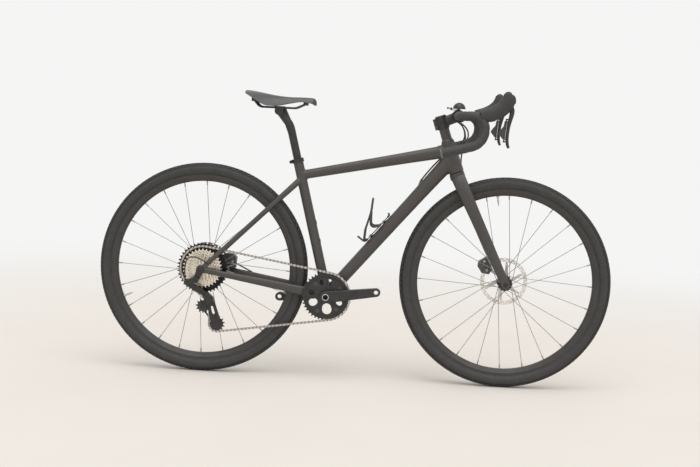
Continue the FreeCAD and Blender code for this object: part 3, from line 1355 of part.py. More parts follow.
def chain_wraps(cage_degrees):
    """Wraps in the order of travel: chainring, tension pulley, guide pulley, driven sprocket."""
    tension = GUIDE + slope(cage_degrees) * CAGE_LENGTH
    return [(BB, pitch_radius(CHAINRING_TEETH), -1, -CHAINLINE),
            (tension, pitch_radius(TENSION_TEETH), -1, DRIVEN_Y),
            (GUIDE, pitch_radius(GUIDE_TEETH), 1, DRIVEN_Y), (REAR, pitch_radius(DRIVEN_COG), -1, DRIVEN_Y)]


def chain_path(cage_degrees):
    """Loop as pieces: arcs (length, centre, radius, sense, start angle, y) and runs (length, start, end)."""
    wraps = chain_wraps(cage_degrees)
    runs = []
    for k, wrap in enumerate(wraps):
        follower = wraps[(k + 1) % len(wraps)]
        start, end = tangent(wrap[:3], follower[:3])
        runs.append((start + SIDE * wrap[3], end + SIDE * follower[3]))
    pieces = []
    for k, (centre, radius, sense, y) in enumerate(wraps):
        arrive = runs[k - 1][1]
        leave = runs[k][0]
        begin = heading(centre, arrive)
        sweep = (sense * (heading(centre, leave) - begin)) % 360
        pieces.append((math.radians(sweep) * radius, centre, radius, sense, begin, y))
        pieces.append(((runs[k][1] - leave).Length, leave, runs[k][1]))
    return pieces


def path_point(pieces, distance):
    """Point that far round the loop."""
    distance = distance % sum(piece[0] for piece in pieces)
    for piece in pieces:
        if distance <= piece[0]:
            break
        distance -= piece[0]
    if len(piece) == 3:
        length, start, end = piece
        point = start + (end - start) * (distance / length)
        share = (distance - LATERAL_HOLD) / (length - 2 * LATERAL_HOLD) if length > 3 * LATERAL_HOLD else 0.5
        point.y = start.y + (end.y - start.y) * min(max(share, 0.0), 1.0)
        return point
    _, centre, radius, sense, begin, y = piece
    return polar(centre, radius, begin + sense * math.degrees(distance / radius), y)


def next_pin(pieces, distance):
    """Distance round the loop of the pin one chain pitch further on."""
    here = path_point(pieces, distance)
    low = distance + CHAIN_PITCH * 0.98
    high = distance + CHAIN_PITCH * 1.06
    for _ in range(34):
        middle = (low + high) / 2
        if (path_point(pieces, middle) - here).Length < CHAIN_PITCH:
            low = middle
        else:
            high = middle
    return low


def pin_distances(pieces, count):
    """Distances of all pins, and of the one that should meet the first again."""
    distances = [CHAIN_PITCH * 0.3]
    for _ in range(count):
        distances.append(next_pin(pieces, distances[-1]))
    return distances


def closing_error(cage_degrees, count):
    pieces = chain_path(cage_degrees)
    distances = pin_distances(pieces, count)
    return distances[-1] - distances[0] - sum(piece[0] for piece in pieces)


def solve_cage(count):
    """Cage angle at which that many links close the loop."""
    low = CAGE_ANGLE_NOMINAL - 16
    high = CAGE_ANGLE_NOMINAL + 16
    rising = closing_error(high, count) > closing_error(low, count)
    for _ in range(22):
        middle = (low + high) / 2
        if (closing_error(middle, count) > 0) == rising:
            high = middle
        else:
            low = middle
    return (low + high) / 2


NOMINAL_LOOP = sum(piece[0] for piece in chain_path(CAGE_ANGLE_NOMINAL))
LINK_COUNT = 2 * round(NOMINAL_LOOP / CHAIN_PITCH / 2)
CAGE_ANGLE = solve_cage(LINK_COUNT)
TENSION = GUIDE + slope(CAGE_ANGLE) * CAGE_LENGTH
LOOP = chain_path(CAGE_ANGLE)
PINS = pin_distances(LOOP, LINK_COUNT)[:-1]


def wrap_phase(index):
    """Angle of one pin on that wrap, so that the teeth sit between the rollers."""
    start = sum(piece[0] for piece in LOOP[:2 * index])
    end = start + LOOP[2 * index][0]
    inside = [distance for distance in PINS if start + 1 < distance % sum(p[0] for p in LOOP) < end - 1]
    centre = LOOP[2 * index][1]
    return heading(centre, path_point(LOOP, inside[len(inside) // 2]))


PLATE_R = 4.0
PLATE_WAIST = 2.9
INNER_PLATE = (1.15, 1.8)
OUTER_PLATE = (1.95, 2.6)
PIN_R = 1.7


def link_plate(y_from, y_to):
    """Waisted plate from pin at 0 to pin at one pitch along X."""
    ends = []
    for x, sense in ((0, -1), (CHAIN_PITCH, 1)):
        lean = slope(62)
        ends.append(Vec(x - sense * lean.x * PLATE_R * 0.5, y_from, lean.z * PLATE_R))
    left, right = ends
    low_left = Vec(left.x, y_from, -left.z)
    low_right = Vec(right.x, y_from, -right.z)
    middle = Vec(CHAIN_PITCH / 2, y_from, PLATE_WAIST)
    edges = [Part.Arc(low_left, Vec(-PLATE_R, y_from, 0), left).toShape(),
             Part.Arc(left, middle, right).toShape(),
             Part.Arc(right, Vec(CHAIN_PITCH + PLATE_R, y_from, 0), low_right).toShape(),
             Part.Arc(low_right, Vec(CHAIN_PITCH / 2, y_from, -PLATE_WAIST), low_left).toShape()]
    return Part.Face(Part.Wire(edges)).extrude(SIDE * (y_to - y_from))


def chain_link(inner):
    """Inner link with its two rollers, or outer link with its two pins."""
    near, far = INNER_PLATE if inner else OUTER_PLATE
    plates = [link_plate(near, far), link_plate(-far, -near)]
    spots = [Vec(0, 0, 0), Vec(CHAIN_PITCH, 0, 0)]
    if inner:
        body = fused(plates + [disc(spot, -near - 0.2, near + 0.2, ROLLER_R) for spot in spots])
        return body.cut(Part.makeCompound([disc(spot, -5, 5, PIN_R + 0.1) for spot in spots]))
    return fused(plates + [disc(spot, -far, far, PIN_R) for spot in spots])


def chain():
    """Every link of the loop, set from pin to pin."""
    points = [path_point(LOOP, distance) for distance in PINS]
    patterns = [chain_link(True), chain_link(False)]
    solids = []
    for k, start in enumerate(points):
        along = (points[(k + 1) % len(points)] - start).normalize()
        across = (SIDE - along * SIDE.dot(along)).normalize()
        rise = along.cross(across)
        turn = FreeCAD.Matrix(along.x, across.x, rise.x, start.x, along.y, across.y, rise.y, start.y,
                              along.z, across.z, rise.z, start.z, 0, 0, 0, 1)
        link = patterns[k % 2].copy()
        link.Placement = FreeCAD.Placement(turn)
        solids.append(link)
    return Part.makeCompound(solids)


# Rear derailleur

HANGER_T = 4.9
CAGE_PLATE_T = 1.8
CAGE_HALF = 4.3
CAGE_FOOT_R = 18.0
CAGE_HOLE_R = 3.2
PULLEY_PIN_R = 4.0
PIVOT_PIN_R = 5.0
KNUCKLE_T = 12.0


def derailleur_hanger():
    """Plate on the outside of the right dropout, between axle and derailleur."""
    face = -REAR_HUB_W / 2 - DROPOUT_T - SEAT_GAP
    plate = hull(REAR, 12.0, KNUCKLE_TOP, 9.0, face - HANGER_T, face)
    plate = plate.cut(disc(REAR, -REAR_HUB_W, 0, THRU_AXLE_R + SEAT_GAP))
    return plate.cut(disc(KNUCKLE_TOP, -REAR_HUB_W, 0, PIVOT_PIN_R + SEAT_GAP))


def derailleur_body():
    """Upper knuckle, two slanting links and the lower knuckle round the cage pivot."""
    face = DERAILLEUR_Y - 2 * SEAT_GAP
    upper = hull(KNUCKLE_TOP, 10.5, KNUCKLE_BACK, 9.0, face - KNUCKLE_T, face)
    bolt = disc(KNUCKLE_TOP, face - KNUCKLE_T - 2, face + HANGER_T, PIVOT_PIN_R)
    low_face = DRIVEN_Y - CAGE_HALF - CAGE_PLATE_T - RUN_GAP
    lower = hull(KNUCKLE_FRONT, 10.0, CAGE_PIVOT, 15.0, low_face - 20, low_face)
    degrees = heading(KNUCKLE_BACK, KNUCKLE_FRONT)
    links = []
    for shift in (0, 9):
        start = KNUCKLE_BACK + SIDE * (face - KNUCKLE_T + 3 + shift)
        end = KNUCKLE_FRONT + SIDE * (low_face - 16 + shift)
        middle = (start + end) * 0.5
        links.append(lofted([(start, degrees, 7.5 - shift * 0.15, 3, 2.6), (middle, degrees, 9.5, 3, 2.6),
                             (end, degrees, 8, 3, 2.6)]))
    cap = disc(CAGE_PIVOT, low_face - 23, low_face - 19, 11.5)
    body = fused([upper, bolt, lower, cap] + links)
    return body.cut(disc(CAGE_PIVOT, low_face - 15, low_face + 5, PIVOT_PIN_R + SEAT_GAP))


def derailleur_cage():
    """Outer and inner plate joined by the two pulley pins, on the pivot pin."""
    outer = (DRIVEN_Y - CAGE_HALF - CAGE_PLATE_T, DRIVEN_Y - CAGE_HALF)
    inner = (DRIVEN_Y + CAGE_HALF, DRIVEN_Y + CAGE_HALF + CAGE_PLATE_T)
    window = CAGE_PIVOT * 0.5 + TENSION * 0.5
    long_way = slope(heading(CAGE_PIVOT, TENSION))
    slot = hull(window - long_way * 16, 3.5, window + long_way * 4, 4.5, outer[0] - 1, outer[1] + 1)
    front = fused([hull(CAGE_PIVOT, 13.0, TENSION, CAGE_FOOT_R, *outer),
                   hull(CAGE_PIVOT, 12.0, GUIDE, 9.0, *outer)])
    holes = [slot]
    for turn in (-60, 30, 120, 210):
        place = polar(TENSION, CAGE_FOOT_R - 6.5, CAGE_ANGLE + turn)
        holes.append(disc(place, outer[0] - 1, outer[1] + 1, CAGE_HOLE_R))
    front = front.cut(Part.makeCompound(holes))
    back_slot = GUIDE * 0.5 + TENSION * 0.5
    back = hull(GUIDE, 10.0, TENSION, 10.0, *inner)
    run = slope(CAGE_ANGLE)
    back = back.cut(hull(back_slot - run * 14, 4.0, back_slot + run * 14, 4.0, inner[0] - 1, inner[1] + 1))
    pins = [disc(place, outer[0], inner[1], PULLEY_PIN_R) for place in (GUIDE, TENSION)]
    pivot = disc(CAGE_PIVOT, outer[0] - 14, outer[1], PIVOT_PIN_R)
    return fused([front, back, pivot] + pins)


def pulley(centre, teeth, phase):
    """Toothed pulley with a hub that turns on the cage pin."""
    body = toothed(centre, teeth, phase, DRIVEN_Y, TOOTH_T)
    hub_r = pitch_radius(teeth) - ROLLER_R - 5
    body = fused([body, disc(centre, DRIVEN_Y - CAGE_HALF + RUN_GAP, DRIVEN_Y + CAGE_HALF - RUN_GAP, hub_r)])
    return body.cut(disc(centre, DRIVEN_Y - 9, DRIVEN_Y + 9, PULLEY_PIN_R + SEAT_GAP))


FRONT_VALVE_ANGLE = 97.5
REAR_VALVE_ANGLE = 202.5

NODES = {
    "main_frame": main_frame(),
    "seat_collar": seat_collar(),
    "bottom_bracket": bottom_bracket(),
    "rear_caliper": caliper(REAR, heading(REAR, BB), 11.8, REAR_ROTOR_Y),
    "rear_thru_axle": thru_axle(REAR, REAR_HUB_W, REAR_HUB_W / 2 + DROPOUT_T, DERAILLEUR_Y),
    "derailleur_hanger": derailleur_hanger(),
    "derailleur_body": derailleur_body(),
    "bottle_cage": bottle_cage(),
    "cage_bolts": cage_bolts(),
    "rear_brake_hose": rear_brake_hose(),
    "shift_housing": shift_housing(),
    "chain": chain(),
    "seatpost": seatpost(),
    "saddle_cover": saddle_cover(),
    "saddle_base": saddle_base(),
    "saddle_rails": saddle_rails(),
    "saddle_clamp": saddle_clamp(),
    "fork": fork(),
    "headset": headset(),
    "stem": stem(),
    "stem_faceplate": stem_faceplate(),
    "stem_bolts": stem_bolts(),
    "handlebar": handlebar(),
    "bar_tape": bar_tape(),
    "left_hood": hood(),
    "right_hood": mirrored(hood()),
    "left_brake_lever": brake_lever(),
    "right_brake_lever": mirrored(brake_lever()),
    "left_shift_paddle": shift_paddle(),
    "right_shift_paddle": mirrored(shift_paddle()),
    "front_caliper": caliper(FRONT, heading(FRONT, CROWN - STEER_UP * 12), 17.0, FRONT_ROTOR_Y),
    "front_thru_axle": thru_axle(FRONT, FRONT_HUB_W, FRONT_HUB_W / 2 + 14, -FRONT_HUB_W / 2 - 14),
    "front_brake_hose": front_brake_hose(),
    "bell": bell(),
    "bell_striker": bell_striker(),
    "cassette": cassette(wrap_phase(3)),
    "freehub": freehub(),
    "right_crank": right_crank(),
    "left_crank": left_crank(),
    "chainring": chainring(wrap_phase(0)),
    "chainring_bolts": chainring_bolts(),
    "derailleur_cage": derailleur_cage(),
    "guide_pulley": pulley(GUIDE, GUIDE_TEETH, wrap_phase(2)),
    "tension_pulley": pulley(TENSION, TENSION_TEETH, wrap_phase(1)),
}
for name, axle, flanges, rotor_y, valve_angle in (
        ("front", FRONT, FRONT_FLANGES, FRONT_ROTOR_Y, FRONT_VALVE_ANGLE),
        ("rear", REAR, REAR_FLANGES, REAR_ROTOR_Y, REAR_VALVE_ANGLE)):
    NODES[name + "_tyre"] = tyre(axle)
    NODES[name + "_rim"] = rim(axle)
    NODES[name + "_spokes"] = spokes(axle, flanges)
    NODES[name + "_hub"] = hub(axle, flanges, rotor_y)
    NODES[name + "_rotor"] = rotor_track(axle, rotor_y)
    NODES[name + "_rotor_carrier"] = rotor_carrier(axle, rotor_y)
    NODES[name + "_valve"] = valve(axle, valve_angle)

os.makedirs("parts", exist_ok=True)
for name, shape in NODES.items():
    shape.exportStep("parts/" + name + ".step")
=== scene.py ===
import json
import math

import bmesh
import bpy
from mathutils import Matrix, Vector

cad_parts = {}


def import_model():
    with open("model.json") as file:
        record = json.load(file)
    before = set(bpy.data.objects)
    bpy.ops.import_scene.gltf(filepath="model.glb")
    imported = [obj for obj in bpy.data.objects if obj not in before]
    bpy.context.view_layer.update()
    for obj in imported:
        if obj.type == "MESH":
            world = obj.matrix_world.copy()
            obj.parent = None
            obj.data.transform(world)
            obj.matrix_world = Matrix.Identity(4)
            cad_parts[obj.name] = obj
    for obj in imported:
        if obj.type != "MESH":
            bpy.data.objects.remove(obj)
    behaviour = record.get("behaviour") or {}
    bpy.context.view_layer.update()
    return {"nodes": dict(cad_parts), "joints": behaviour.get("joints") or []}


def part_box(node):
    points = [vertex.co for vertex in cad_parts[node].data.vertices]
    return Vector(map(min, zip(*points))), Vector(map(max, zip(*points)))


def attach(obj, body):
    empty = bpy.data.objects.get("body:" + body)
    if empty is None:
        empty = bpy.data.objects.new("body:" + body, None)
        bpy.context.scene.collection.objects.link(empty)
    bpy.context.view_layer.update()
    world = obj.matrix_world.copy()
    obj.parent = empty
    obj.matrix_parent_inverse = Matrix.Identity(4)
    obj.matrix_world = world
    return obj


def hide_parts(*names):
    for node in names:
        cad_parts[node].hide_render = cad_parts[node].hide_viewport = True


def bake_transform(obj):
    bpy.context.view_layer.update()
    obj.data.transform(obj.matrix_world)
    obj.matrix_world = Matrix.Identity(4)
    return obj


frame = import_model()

# Gravel bike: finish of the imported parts, and detailed tyres, tape, hoods, saddle and hoses.
# Metres, +X forward, +Y to the rider's left, +Z up.

NODES = frame["nodes"]
JOINTS = {joint["name"]: joint for joint in frame["joints"]}
SIDE = Vector((0, 1, 0))
MM = 0.001


def pivot(name):
    """Place of a joint's axis."""
    return Vector(JOINTS[name]["pos_m"])


FRONT_HUB = pivot("front_wheel_spin")
REAR_HUB = pivot("rear_wheel_spin")
SADDLE_CLAMP = pivot("saddle_tilt")
LEVER_FROM_BAR = (156, 211, 38)
BAR = pivot("left_brake") - Vector(LEVER_FROM_BAR) * MM

# Section of the tyre's casing, as (radius, y) in mm.
WIDEST = (334.5, 22.5)
CASING_TOP = 354.3
CASING_POWER = 0.82
GROOVES_FROM = 342.0


# Materials

# Between these lie most values of a noise, and the openness of a crevice from full painted shade to none.
NOISE_LOW, NOISE_HIGH = 0.3, 0.7
BARE_LOW, BARE_HIGH = 0.3, 0.9

# The two largest cogs lie inside this y.
LARGE_COGS_FROM = -0.033
COG_BLACK = (0.03, 0.03, 0.031, 1.0)

# Size of the oval at the floor and at the top of a groove, and the share of the colour that the painted shade
# leaves there.
GROOVE_FLOOR, GROOVE_TOP = 1.03, 1.11
GROOVE_FLOOR_SHADE, GROOVE_TOP_SHADE = 0.25, 0.92
GROOVES_FADE = 2.0
FULL_SHARE = 1.5

# A pitch of the chain as it measures along X on the sloping runs, and the wave that paints shade into its
# gaps.
LINK_STEP = 0.0126
GAP_LOW, GAP_HIGH = -0.8, 0.1
GAP_PAINTED_SHADE = 0.5


def add(tree, kind, links=(), **values):
    """New shader node with attributes, numbered or named input values and links set."""
    node = tree.nodes.new("ShaderNode" + kind)
    for key, value in values.items():
        setattr(node, key, value)
    for socket, source in links:
        if hasattr(source, "is_output"):
            tree.links.new(source, node.inputs[socket])
        else:
            node.inputs[socket].default_value = source
    return node


def noise(tree, place, scale, detail=3.0):
    return add(tree, "TexNoise", [("Vector", place), ("Scale", scale), ("Detail", detail)]).outputs["Fac"]


def mapped(tree, value, low, high, to_low=0.0, to_high=1.0, **values):
    """One range of a value laid on another."""
    links = [("Value", value), ("From Min", low), ("From Max", high), ("To Min", to_low), ("To Max", to_high)]
    return add(tree, "MapRange", links, **values).outputs["Result"]


def maths(tree, operation, *values):
    return add(tree, "Math", list(enumerate(values)), operation=operation).outputs["Value"]


def along_axis(tree, place, axis):
    return add(tree, "SeparateXYZ", [("Vector", place)]).outputs[axis]


def shaded(colour, factor):
    return tuple(min(1.0, channel * factor) for channel in colour) + (1.0,)


def surface(name, colour, rough, metal=0.0, mottle=45.0, depth=0.12, grain=1500.0, bump=0.06, swing=0.07):
    """Material with mottled colour, uneven roughness and a fine grain."""
    material = bpy.data.materials.new(name)
    material.use_nodes = True
    tree = material.node_tree
    shader = tree.nodes["Principled BSDF"]
    shader.inputs["Metallic"].default_value = metal
    place = add(tree, "TexCoord").outputs["Object"]
    colours = add(tree, "ValToRGB", [("Fac", noise(tree, place, mottle))])
    dark, light = colours.color_ramp.elements
    dark.position, dark.color = NOISE_LOW, shaded(colour, 1 - depth)
    light.position, light.color = NOISE_HIGH, shaded(colour, 1 + depth)
    tree.links.new(colours.outputs["Color"], shader.inputs["Base Color"])
    patches = noise(tree, place, mottle * 3)
    uneven = mapped(tree, patches, NOISE_LOW, NOISE_HIGH, rough - swing, rough + swing)
    tree.links.new(uneven, shader.inputs["Roughness"])
    relief(tree, shader, noise(tree, place, grain, detail=2.0), strength=bump, distance=0.0003)
    return material


def relief(tree, shader, height, strength, distance):
    """Adds a bump to whatever the shader's normal already has."""
    links = [("Height", height), ("Strength", strength), ("Distance", distance)]
    before = shader.inputs["Normal"].links
    if before:
        links.append(("Normal", before[0].from_socket))
    bumped = add(tree, "Bump", links)
    tree.links.new(bumped.outputs["Normal"], shader.inputs["Normal"])


def parts_of(material):
    """A material's nodes, its shader and the place on the object."""
    tree = material.node_tree
    place = [node for node in tree.nodes if node.type == "TEX_COORD"][0].outputs["Object"]
    return tree, tree.nodes["Principled BSDF"], place


def frame_paint():
    """Matt warm grey paint with a fine metallic flake."""
    material = surface("frame_paint", (0.066, 0.060, 0.056), rough=0.46, metal=0.25, mottle=9.0, depth=0.05,
                       grain=2600.0, bump=0.05)
    return coated(material, weight=0.15, rough=0.35)


def coated(material, weight, rough):
    """Adds a clear coat."""
    shader = parts_of(material)[1]
    shader.inputs["Coat Weight"].default_value = weight
    shader.inputs["Coat Roughness"].default_value = rough
    return material


def steel(name, colour, rough):
    """Bright steel with streaks along the bike."""
    material = surface(name, colour, rough, metal=1.0, mottle=120.0, depth=0.1, grain=3000.0)
    tree, shader, place = parts_of(material)
    stretched = (60.0, 900.0, 900.0)
    along = add(tree, "Mapping", [("Vector", place), ("Scale", stretched)]).outputs["Vector"]
    relief(tree, shader, noise(tree, along, 3.0), strength=0.05, distance=0.0002)
    return material


def lathe_steel(name, colour, rough, centre):
    """Steel with fine rings round an axle."""
    material = surface(name, colour, rough, metal=1.0, mottle=90.0, depth=0.08, grain=2500.0)
    tree, shader, place = parts_of(material)
    radius = from_axle(tree, place, centre)
    rings = add(tree, "TexNoise", [("W", radius), ("Scale", 3200.0)], noise_dimensions="1D").outputs["Fac"]
    relief(tree, shader, rings, strength=0.12, distance=0.0002)
    return material


def cassette_steel():
    """Warm silver cogs, the two largest ones black, with painted shade in the gaps between them."""
    material = lathe_steel("cassette_steel", (0.86, 0.79, 0.67), rough=0.33, centre=REAR_HUB)
    tree, shader, place = parts_of(material)
    large = maths(tree, "GREATER_THAN", along_axis(tree, place, "Y"), LARGE_COGS_FROM)
    silver = shader.inputs["Base Color"].links[0].from_socket
    mixed = add(tree, "Mix", data_type="RGBA")
    tree.links.new(large, mixed.inputs[0])
    tree.links.new(silver, mixed.inputs[6])
    mixed.inputs[7].default_value = COG_BLACK
    tree.links.new(mixed.outputs[2], shader.inputs["Base Color"])
    return painted_crevice_shade(material, distance=0.006, least=0.15)


def painted_crevice_shade(material, distance, least):
    """Painted shade: darkens the colour in gaps narrower than that distance."""
    tree, shader, _ = parts_of(material)
    bare = add(tree, "AmbientOcclusion", [("Distance", distance)]).outputs["AO"]
    scaled(tree, shader, mapped(tree, bare, BARE_LOW, BARE_HIGH, least, 1.0))
    return material


def scaled(tree, shader, share):
    """Multiplies the shader's colour by a value."""
    colour = shader.inputs["Base Color"].links[0].from_socket
    product = add(tree, "VectorMath", [(0, colour), (1, share)], operation="MULTIPLY")
    tree.links.new(product.outputs["Vector"], shader.inputs["Base Color"])


def from_axle(tree, place, centre):
    """Distance from a wheel's axle."""
    in_plane = (1.0, 0.0, 1.0)
    pressed = add(tree, "VectorMath", [(0, place), (1, in_plane)], operation="MULTIPLY").outputs["Vector"]
    axle = (centre.x, 0.0, centre.z)
    return add(tree, "VectorMath", [(0, pressed), (1, axle)], operation="DISTANCE").outputs["Value"]


def tyre_rubber(name, centre):
    """Rubber with painted shade in the grooves between the knobs, where the surface is down on the casing's
    oval section, and in its crevices.
    """
    material = surface(name, (0.038, 0.037, 0.036), rough=0.57, mottle=70.0, depth=0.16, grain=900.0,
                       bump=0.25)
    tree, shader, place = parts_of(material)
    relief(tree, shader, noise(tree, place, 250.0), strength=0.12, distance=0.0006)
    radius = from_axle(tree, place, centre)
    aside = maths(tree, "ABSOLUTE", along_axis(tree, place, "Y"))
    out_share = ratio(tree, radius, WIDEST[0] * MM, CASING_TOP * MM)
    side_share = ratio(tree, aside, 0.0, WIDEST[1] * MM)
    oval = maths(tree, "ADD", maths(tree, "POWER", out_share, 2.0),
                 maths(tree, "POWER", side_share, 2 / CASING_POWER))
    # Painted shade, deepest on the groove floors between the knobs.
    groove = mapped(tree, oval, GROOVE_FLOOR, GROOVE_TOP, GROOVE_FLOOR_SHADE, GROOVE_TOP_SHADE)
    on_tread = ratio(tree, radius, GROOVES_FROM * MM, (GROOVES_FROM + GROOVES_FADE) * MM)
    scaled(tree, shader, mapped(tree, on_tread, 0.0, 1.0, 1.0, groove))
    return painted_crevice_shade(material, distance=0.010, least=0.12)


def ratio(tree, value, low, high):
    """Share of the way from one value to another, held between 0 and a little past the end."""
    share = mapped(tree, value, low, high, clamp=False)
    return add(tree, "Clamp", [("Value", share), ("Max", FULL_SHARE)]).outputs["Result"]


def chain_steel():
    """Steel with painted shade in the gap at each pitch of the chain and in its crevices."""
    material = steel("chain_steel", (0.56, 0.53, 0.50), rough=0.36)
    tree, shader, place = parts_of(material)
    # Painted shade in the gaps between the links, a wave along X.
    turn = maths(tree, "MULTIPLY", along_axis(tree, place, "X"), 2 * math.pi / LINK_STEP)
    scaled(tree, shader, mapped(tree, maths(tree, "SINE", turn), GAP_LOW, GAP_HIGH, GAP_PAINTED_SHADE, 1.0))
    return painted_crevice_shade(material, distance=0.006, least=0.1)


def pitted(name, colour, rough, scale, strength):
    """Skin with small cells, as on leather or padded tape."""
    material = surface(name, colour, rough, mottle=55.0, depth=0.14, grain=1800.0, bump=0.1)
    tree, shader, place = parts_of(material)
    cells = add(tree, "TexVoronoi", [("Vector", place), ("Scale", scale)]).outputs["Distance"]
    relief(tree, shader, cells, strength, distance=0.0004)
    return material


PAINT = frame_paint()
ALLOY = surface("black_alloy", (0.045, 0.044, 0.043), rough=0.4, metal=0.5, mottle=60.0, depth=0.18,
                grain=2200.0)
PLASTIC = surface("black_plastic", (0.05, 0.049, 0.048), rough=0.5, mottle=80.0, grain=1400.0, bump=0.12)
# Rim finish with painted shade in its crevices, such as where the tyre meets it.
RIM = painted_crevice_shade(surface("rim_black", (0.052, 0.049, 0.0465), rough=0.36, metal=0.3, mottle=30.0, grain=2400.0),
               distance=0.014, least=0.12)
TYRES = {"front": tyre_rubber("front_tyre_rubber", FRONT_HUB),
         "rear": tyre_rubber("rear_tyre_rubber", REAR_HUB)}
TAPE = pitted("tape", (0.044, 0.0425, 0.041), rough=0.62, scale=650.0, strength=0.35)
HOOD = pitted("hood_rubber", (0.037, 0.036, 0.035), rough=0.6, scale=900.0, strength=0.3)
SKIN = coated(pitted("saddle_skin", (0.027, 0.0265, 0.0265), rough=0.4, scale=1100.0, strength=0.22),
              weight=0.4, rough=0.3)
HOSE = surface("hose", (0.03, 0.03, 0.03), rough=0.4, mottle=100.0)
SPOKE = steel("spoke_steel", (0.32, 0.31, 0.30), rough=0.35)
STEEL = steel("steel", (0.55, 0.55, 0.55), rough=0.3)
CARRIER = steel("carrier_alloy", (0.62, 0.60, 0.57), rough=0.36)
# Caliper finish with painted shade in its crevices.
GUNMETAL = painted_crevice_shade(surface("gunmetal", (0.10, 0.098, 0.095), rough=0.36, metal=0.6, mottle=70.0,
                            grain=2000.0), distance=0.008, least=0.3)
BOLT = steel("dark_bolt", (0.12, 0.118, 0.115), rough=0.34)
CHAIN = chain_steel()
CASSETTE = cassette_steel()
ROTOR_COLOUR = (0.74, 0.72, 0.68)
FRONT_ROTOR = lathe_steel("front_rotor_steel", ROTOR_COLOUR, rough=0.28, centre=FRONT_HUB)
REAR_ROTOR = lathe_steel("rear_rotor_steel", ROTOR_COLOUR, rough=0.28, centre=REAR_HUB)
PLUG = surface("plug_grey", (0.16, 0.155, 0.15), rough=0.42, metal=0.3, mottle=90.0)
FINISHING = surface("finishing_band", (0.05, 0.05, 0.05), rough=0.34, mottle=60.0)

FINISH = {
    "main_frame": PAINT, "fork": PAINT, "headset": PAINT, "seatpost": ALLOY, "seat_collar": ALLOY,
    "bottom_bracket": ALLOY, "rear_caliper": GUNMETAL, "front_caliper": GUNMETAL, "rear_thru_axle": ALLOY,
    "front_thru_axle": ALLOY, "derailleur_hanger": ALLOY, "derailleur_body": ALLOY, "bottle_cage": PLASTIC,
    "cage_bolts": STEEL, "chain": CHAIN, "saddle_base": PLASTIC, "saddle_rails": ALLOY, "saddle_clamp": ALLOY,
    "stem": ALLOY, "stem_faceplate": ALLOY, "stem_bolts": BOLT, "handlebar": ALLOY, "bell": ALLOY,
    "bell_striker": PLASTIC, "left_brake_lever": ALLOY, "right_brake_lever": ALLOY,
    "left_shift_paddle": PLASTIC, "right_shift_paddle": PLASTIC, "cassette": CASSETTE, "freehub": STEEL,
    "right_crank": ALLOY, "left_crank": ALLOY, "chainring": ALLOY, "chainring_bolts": BOLT,
    "derailleur_cage": ALLOY, "guide_pulley": PLASTIC, "tension_pulley": PLASTIC,
    "front_rotor": FRONT_ROTOR, "rear_rotor": REAR_ROTOR,
}
for end in ("front", "rear"):
    FINISH.update({end + "_rim": RIM, end + "_spokes": SPOKE, end + "_hub": ALLOY,
                   end + "_rotor_carrier": CARRIER, end + "_valve": STEEL})


def dress(obj, material):
    obj.data.materials.clear()
    obj.data.materials.append(material)


for name, material in FINISH.items():
    dress(NODES[name], material)


# Mesh helpers

def piece(name, mesh, material, body, slot, *nodes):
    """Object of its own on a body, in place of some nodes."""
    obj = bpy.data.objects.new(name, mesh)
    bpy.context.scene.collection.objects.link(obj)
    for face in mesh.polygons:
        face.use_smooth = True
    dress(obj, material)
    if body:
        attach(obj, body)
    if nodes:
        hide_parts(*nodes)
    return obj


def mesh_from(name, points, faces):
    mesh = bpy.data.meshes.new(name)
    mesh.from_pydata([tuple(point) for point in points], [], faces)
    mesh.update()
    return mesh


def grid_faces(rows, columns, close_rows, close_columns):
    """Quads over a grid of points, row by row."""
    faces = []
    for i in range(rows if close_rows else rows - 1):
        for j in range(columns if close_columns else columns - 1):
            a, b = i * columns, (i + 1) % rows * columns
            k = (j + 1) % columns
            faces.append((a + j, b + j, b + k, a + k))
    return faces


def capped_faces(rows, columns):
    """Quads round a row of closed rings, and a face on the first and the last ring."""
    last = (rows - 1) * columns
    caps = [tuple(range(columns)), tuple(range(last, last + columns))]
    return grid_faces(rows, columns, False, True) + caps


def around(up, across, share):
    """Direction across a line at a share of a full turn about it."""
    turn = 2 * math.pi * share
    return up * math.cos(turn) + across * math.sin(turn)


def sharpen(obj, degrees=40):
    """Turns all faces outward and keeps edges sharper than that angle crisp."""
    edit = bmesh.new()
    edit.from_mesh(obj.data)
    bmesh.ops.recalc_face_normals(edit, faces=edit.faces)
    for edge in edit.edges:
        edge.smooth = edge.calc_face_angle(0) < math.radians(degrees)
    edit.to_mesh(obj.data)
    edit.free()
    return obj


# Tyres, in mm

BEAD = (312.5, 11.2)
BEAD_INSIDE = 8.4
BEAD_TALL = 3
WAIST = (317.3, 11.2)
WALL = 3.2
INSIDE_WIDTH = 0.82
LOWER_STEPS = 7
UPPER_STEPS = 12
SEGMENTS = 300

# A knob: depth of its foot in the casing, widths of foot and top as shares, then across, along and height.
KNOB_SUNK = -0.8
KNOB_FOOT = 1.15
KNOB_TOP = 0.82
CENTRE_KNOBS = 150
CENTRE_KNOB = (4.0, 9.5, 1.3)
CENTRE_ROWS = ((0.0, 0), (5.0, 1), (-5.0, 1), (9.6, 0), (-9.6, 0))
CENTRE_LEAN = 2.6
SHOULDER_KNOBS = 120
SHOULDER_KNOB = (5.6, 11.5, 1.6)
SHOULDER_Y = 14.6
SHOULDER_LEAN = 38
STAGGER_Y = 1.2
STAGGER_LEAN = 6


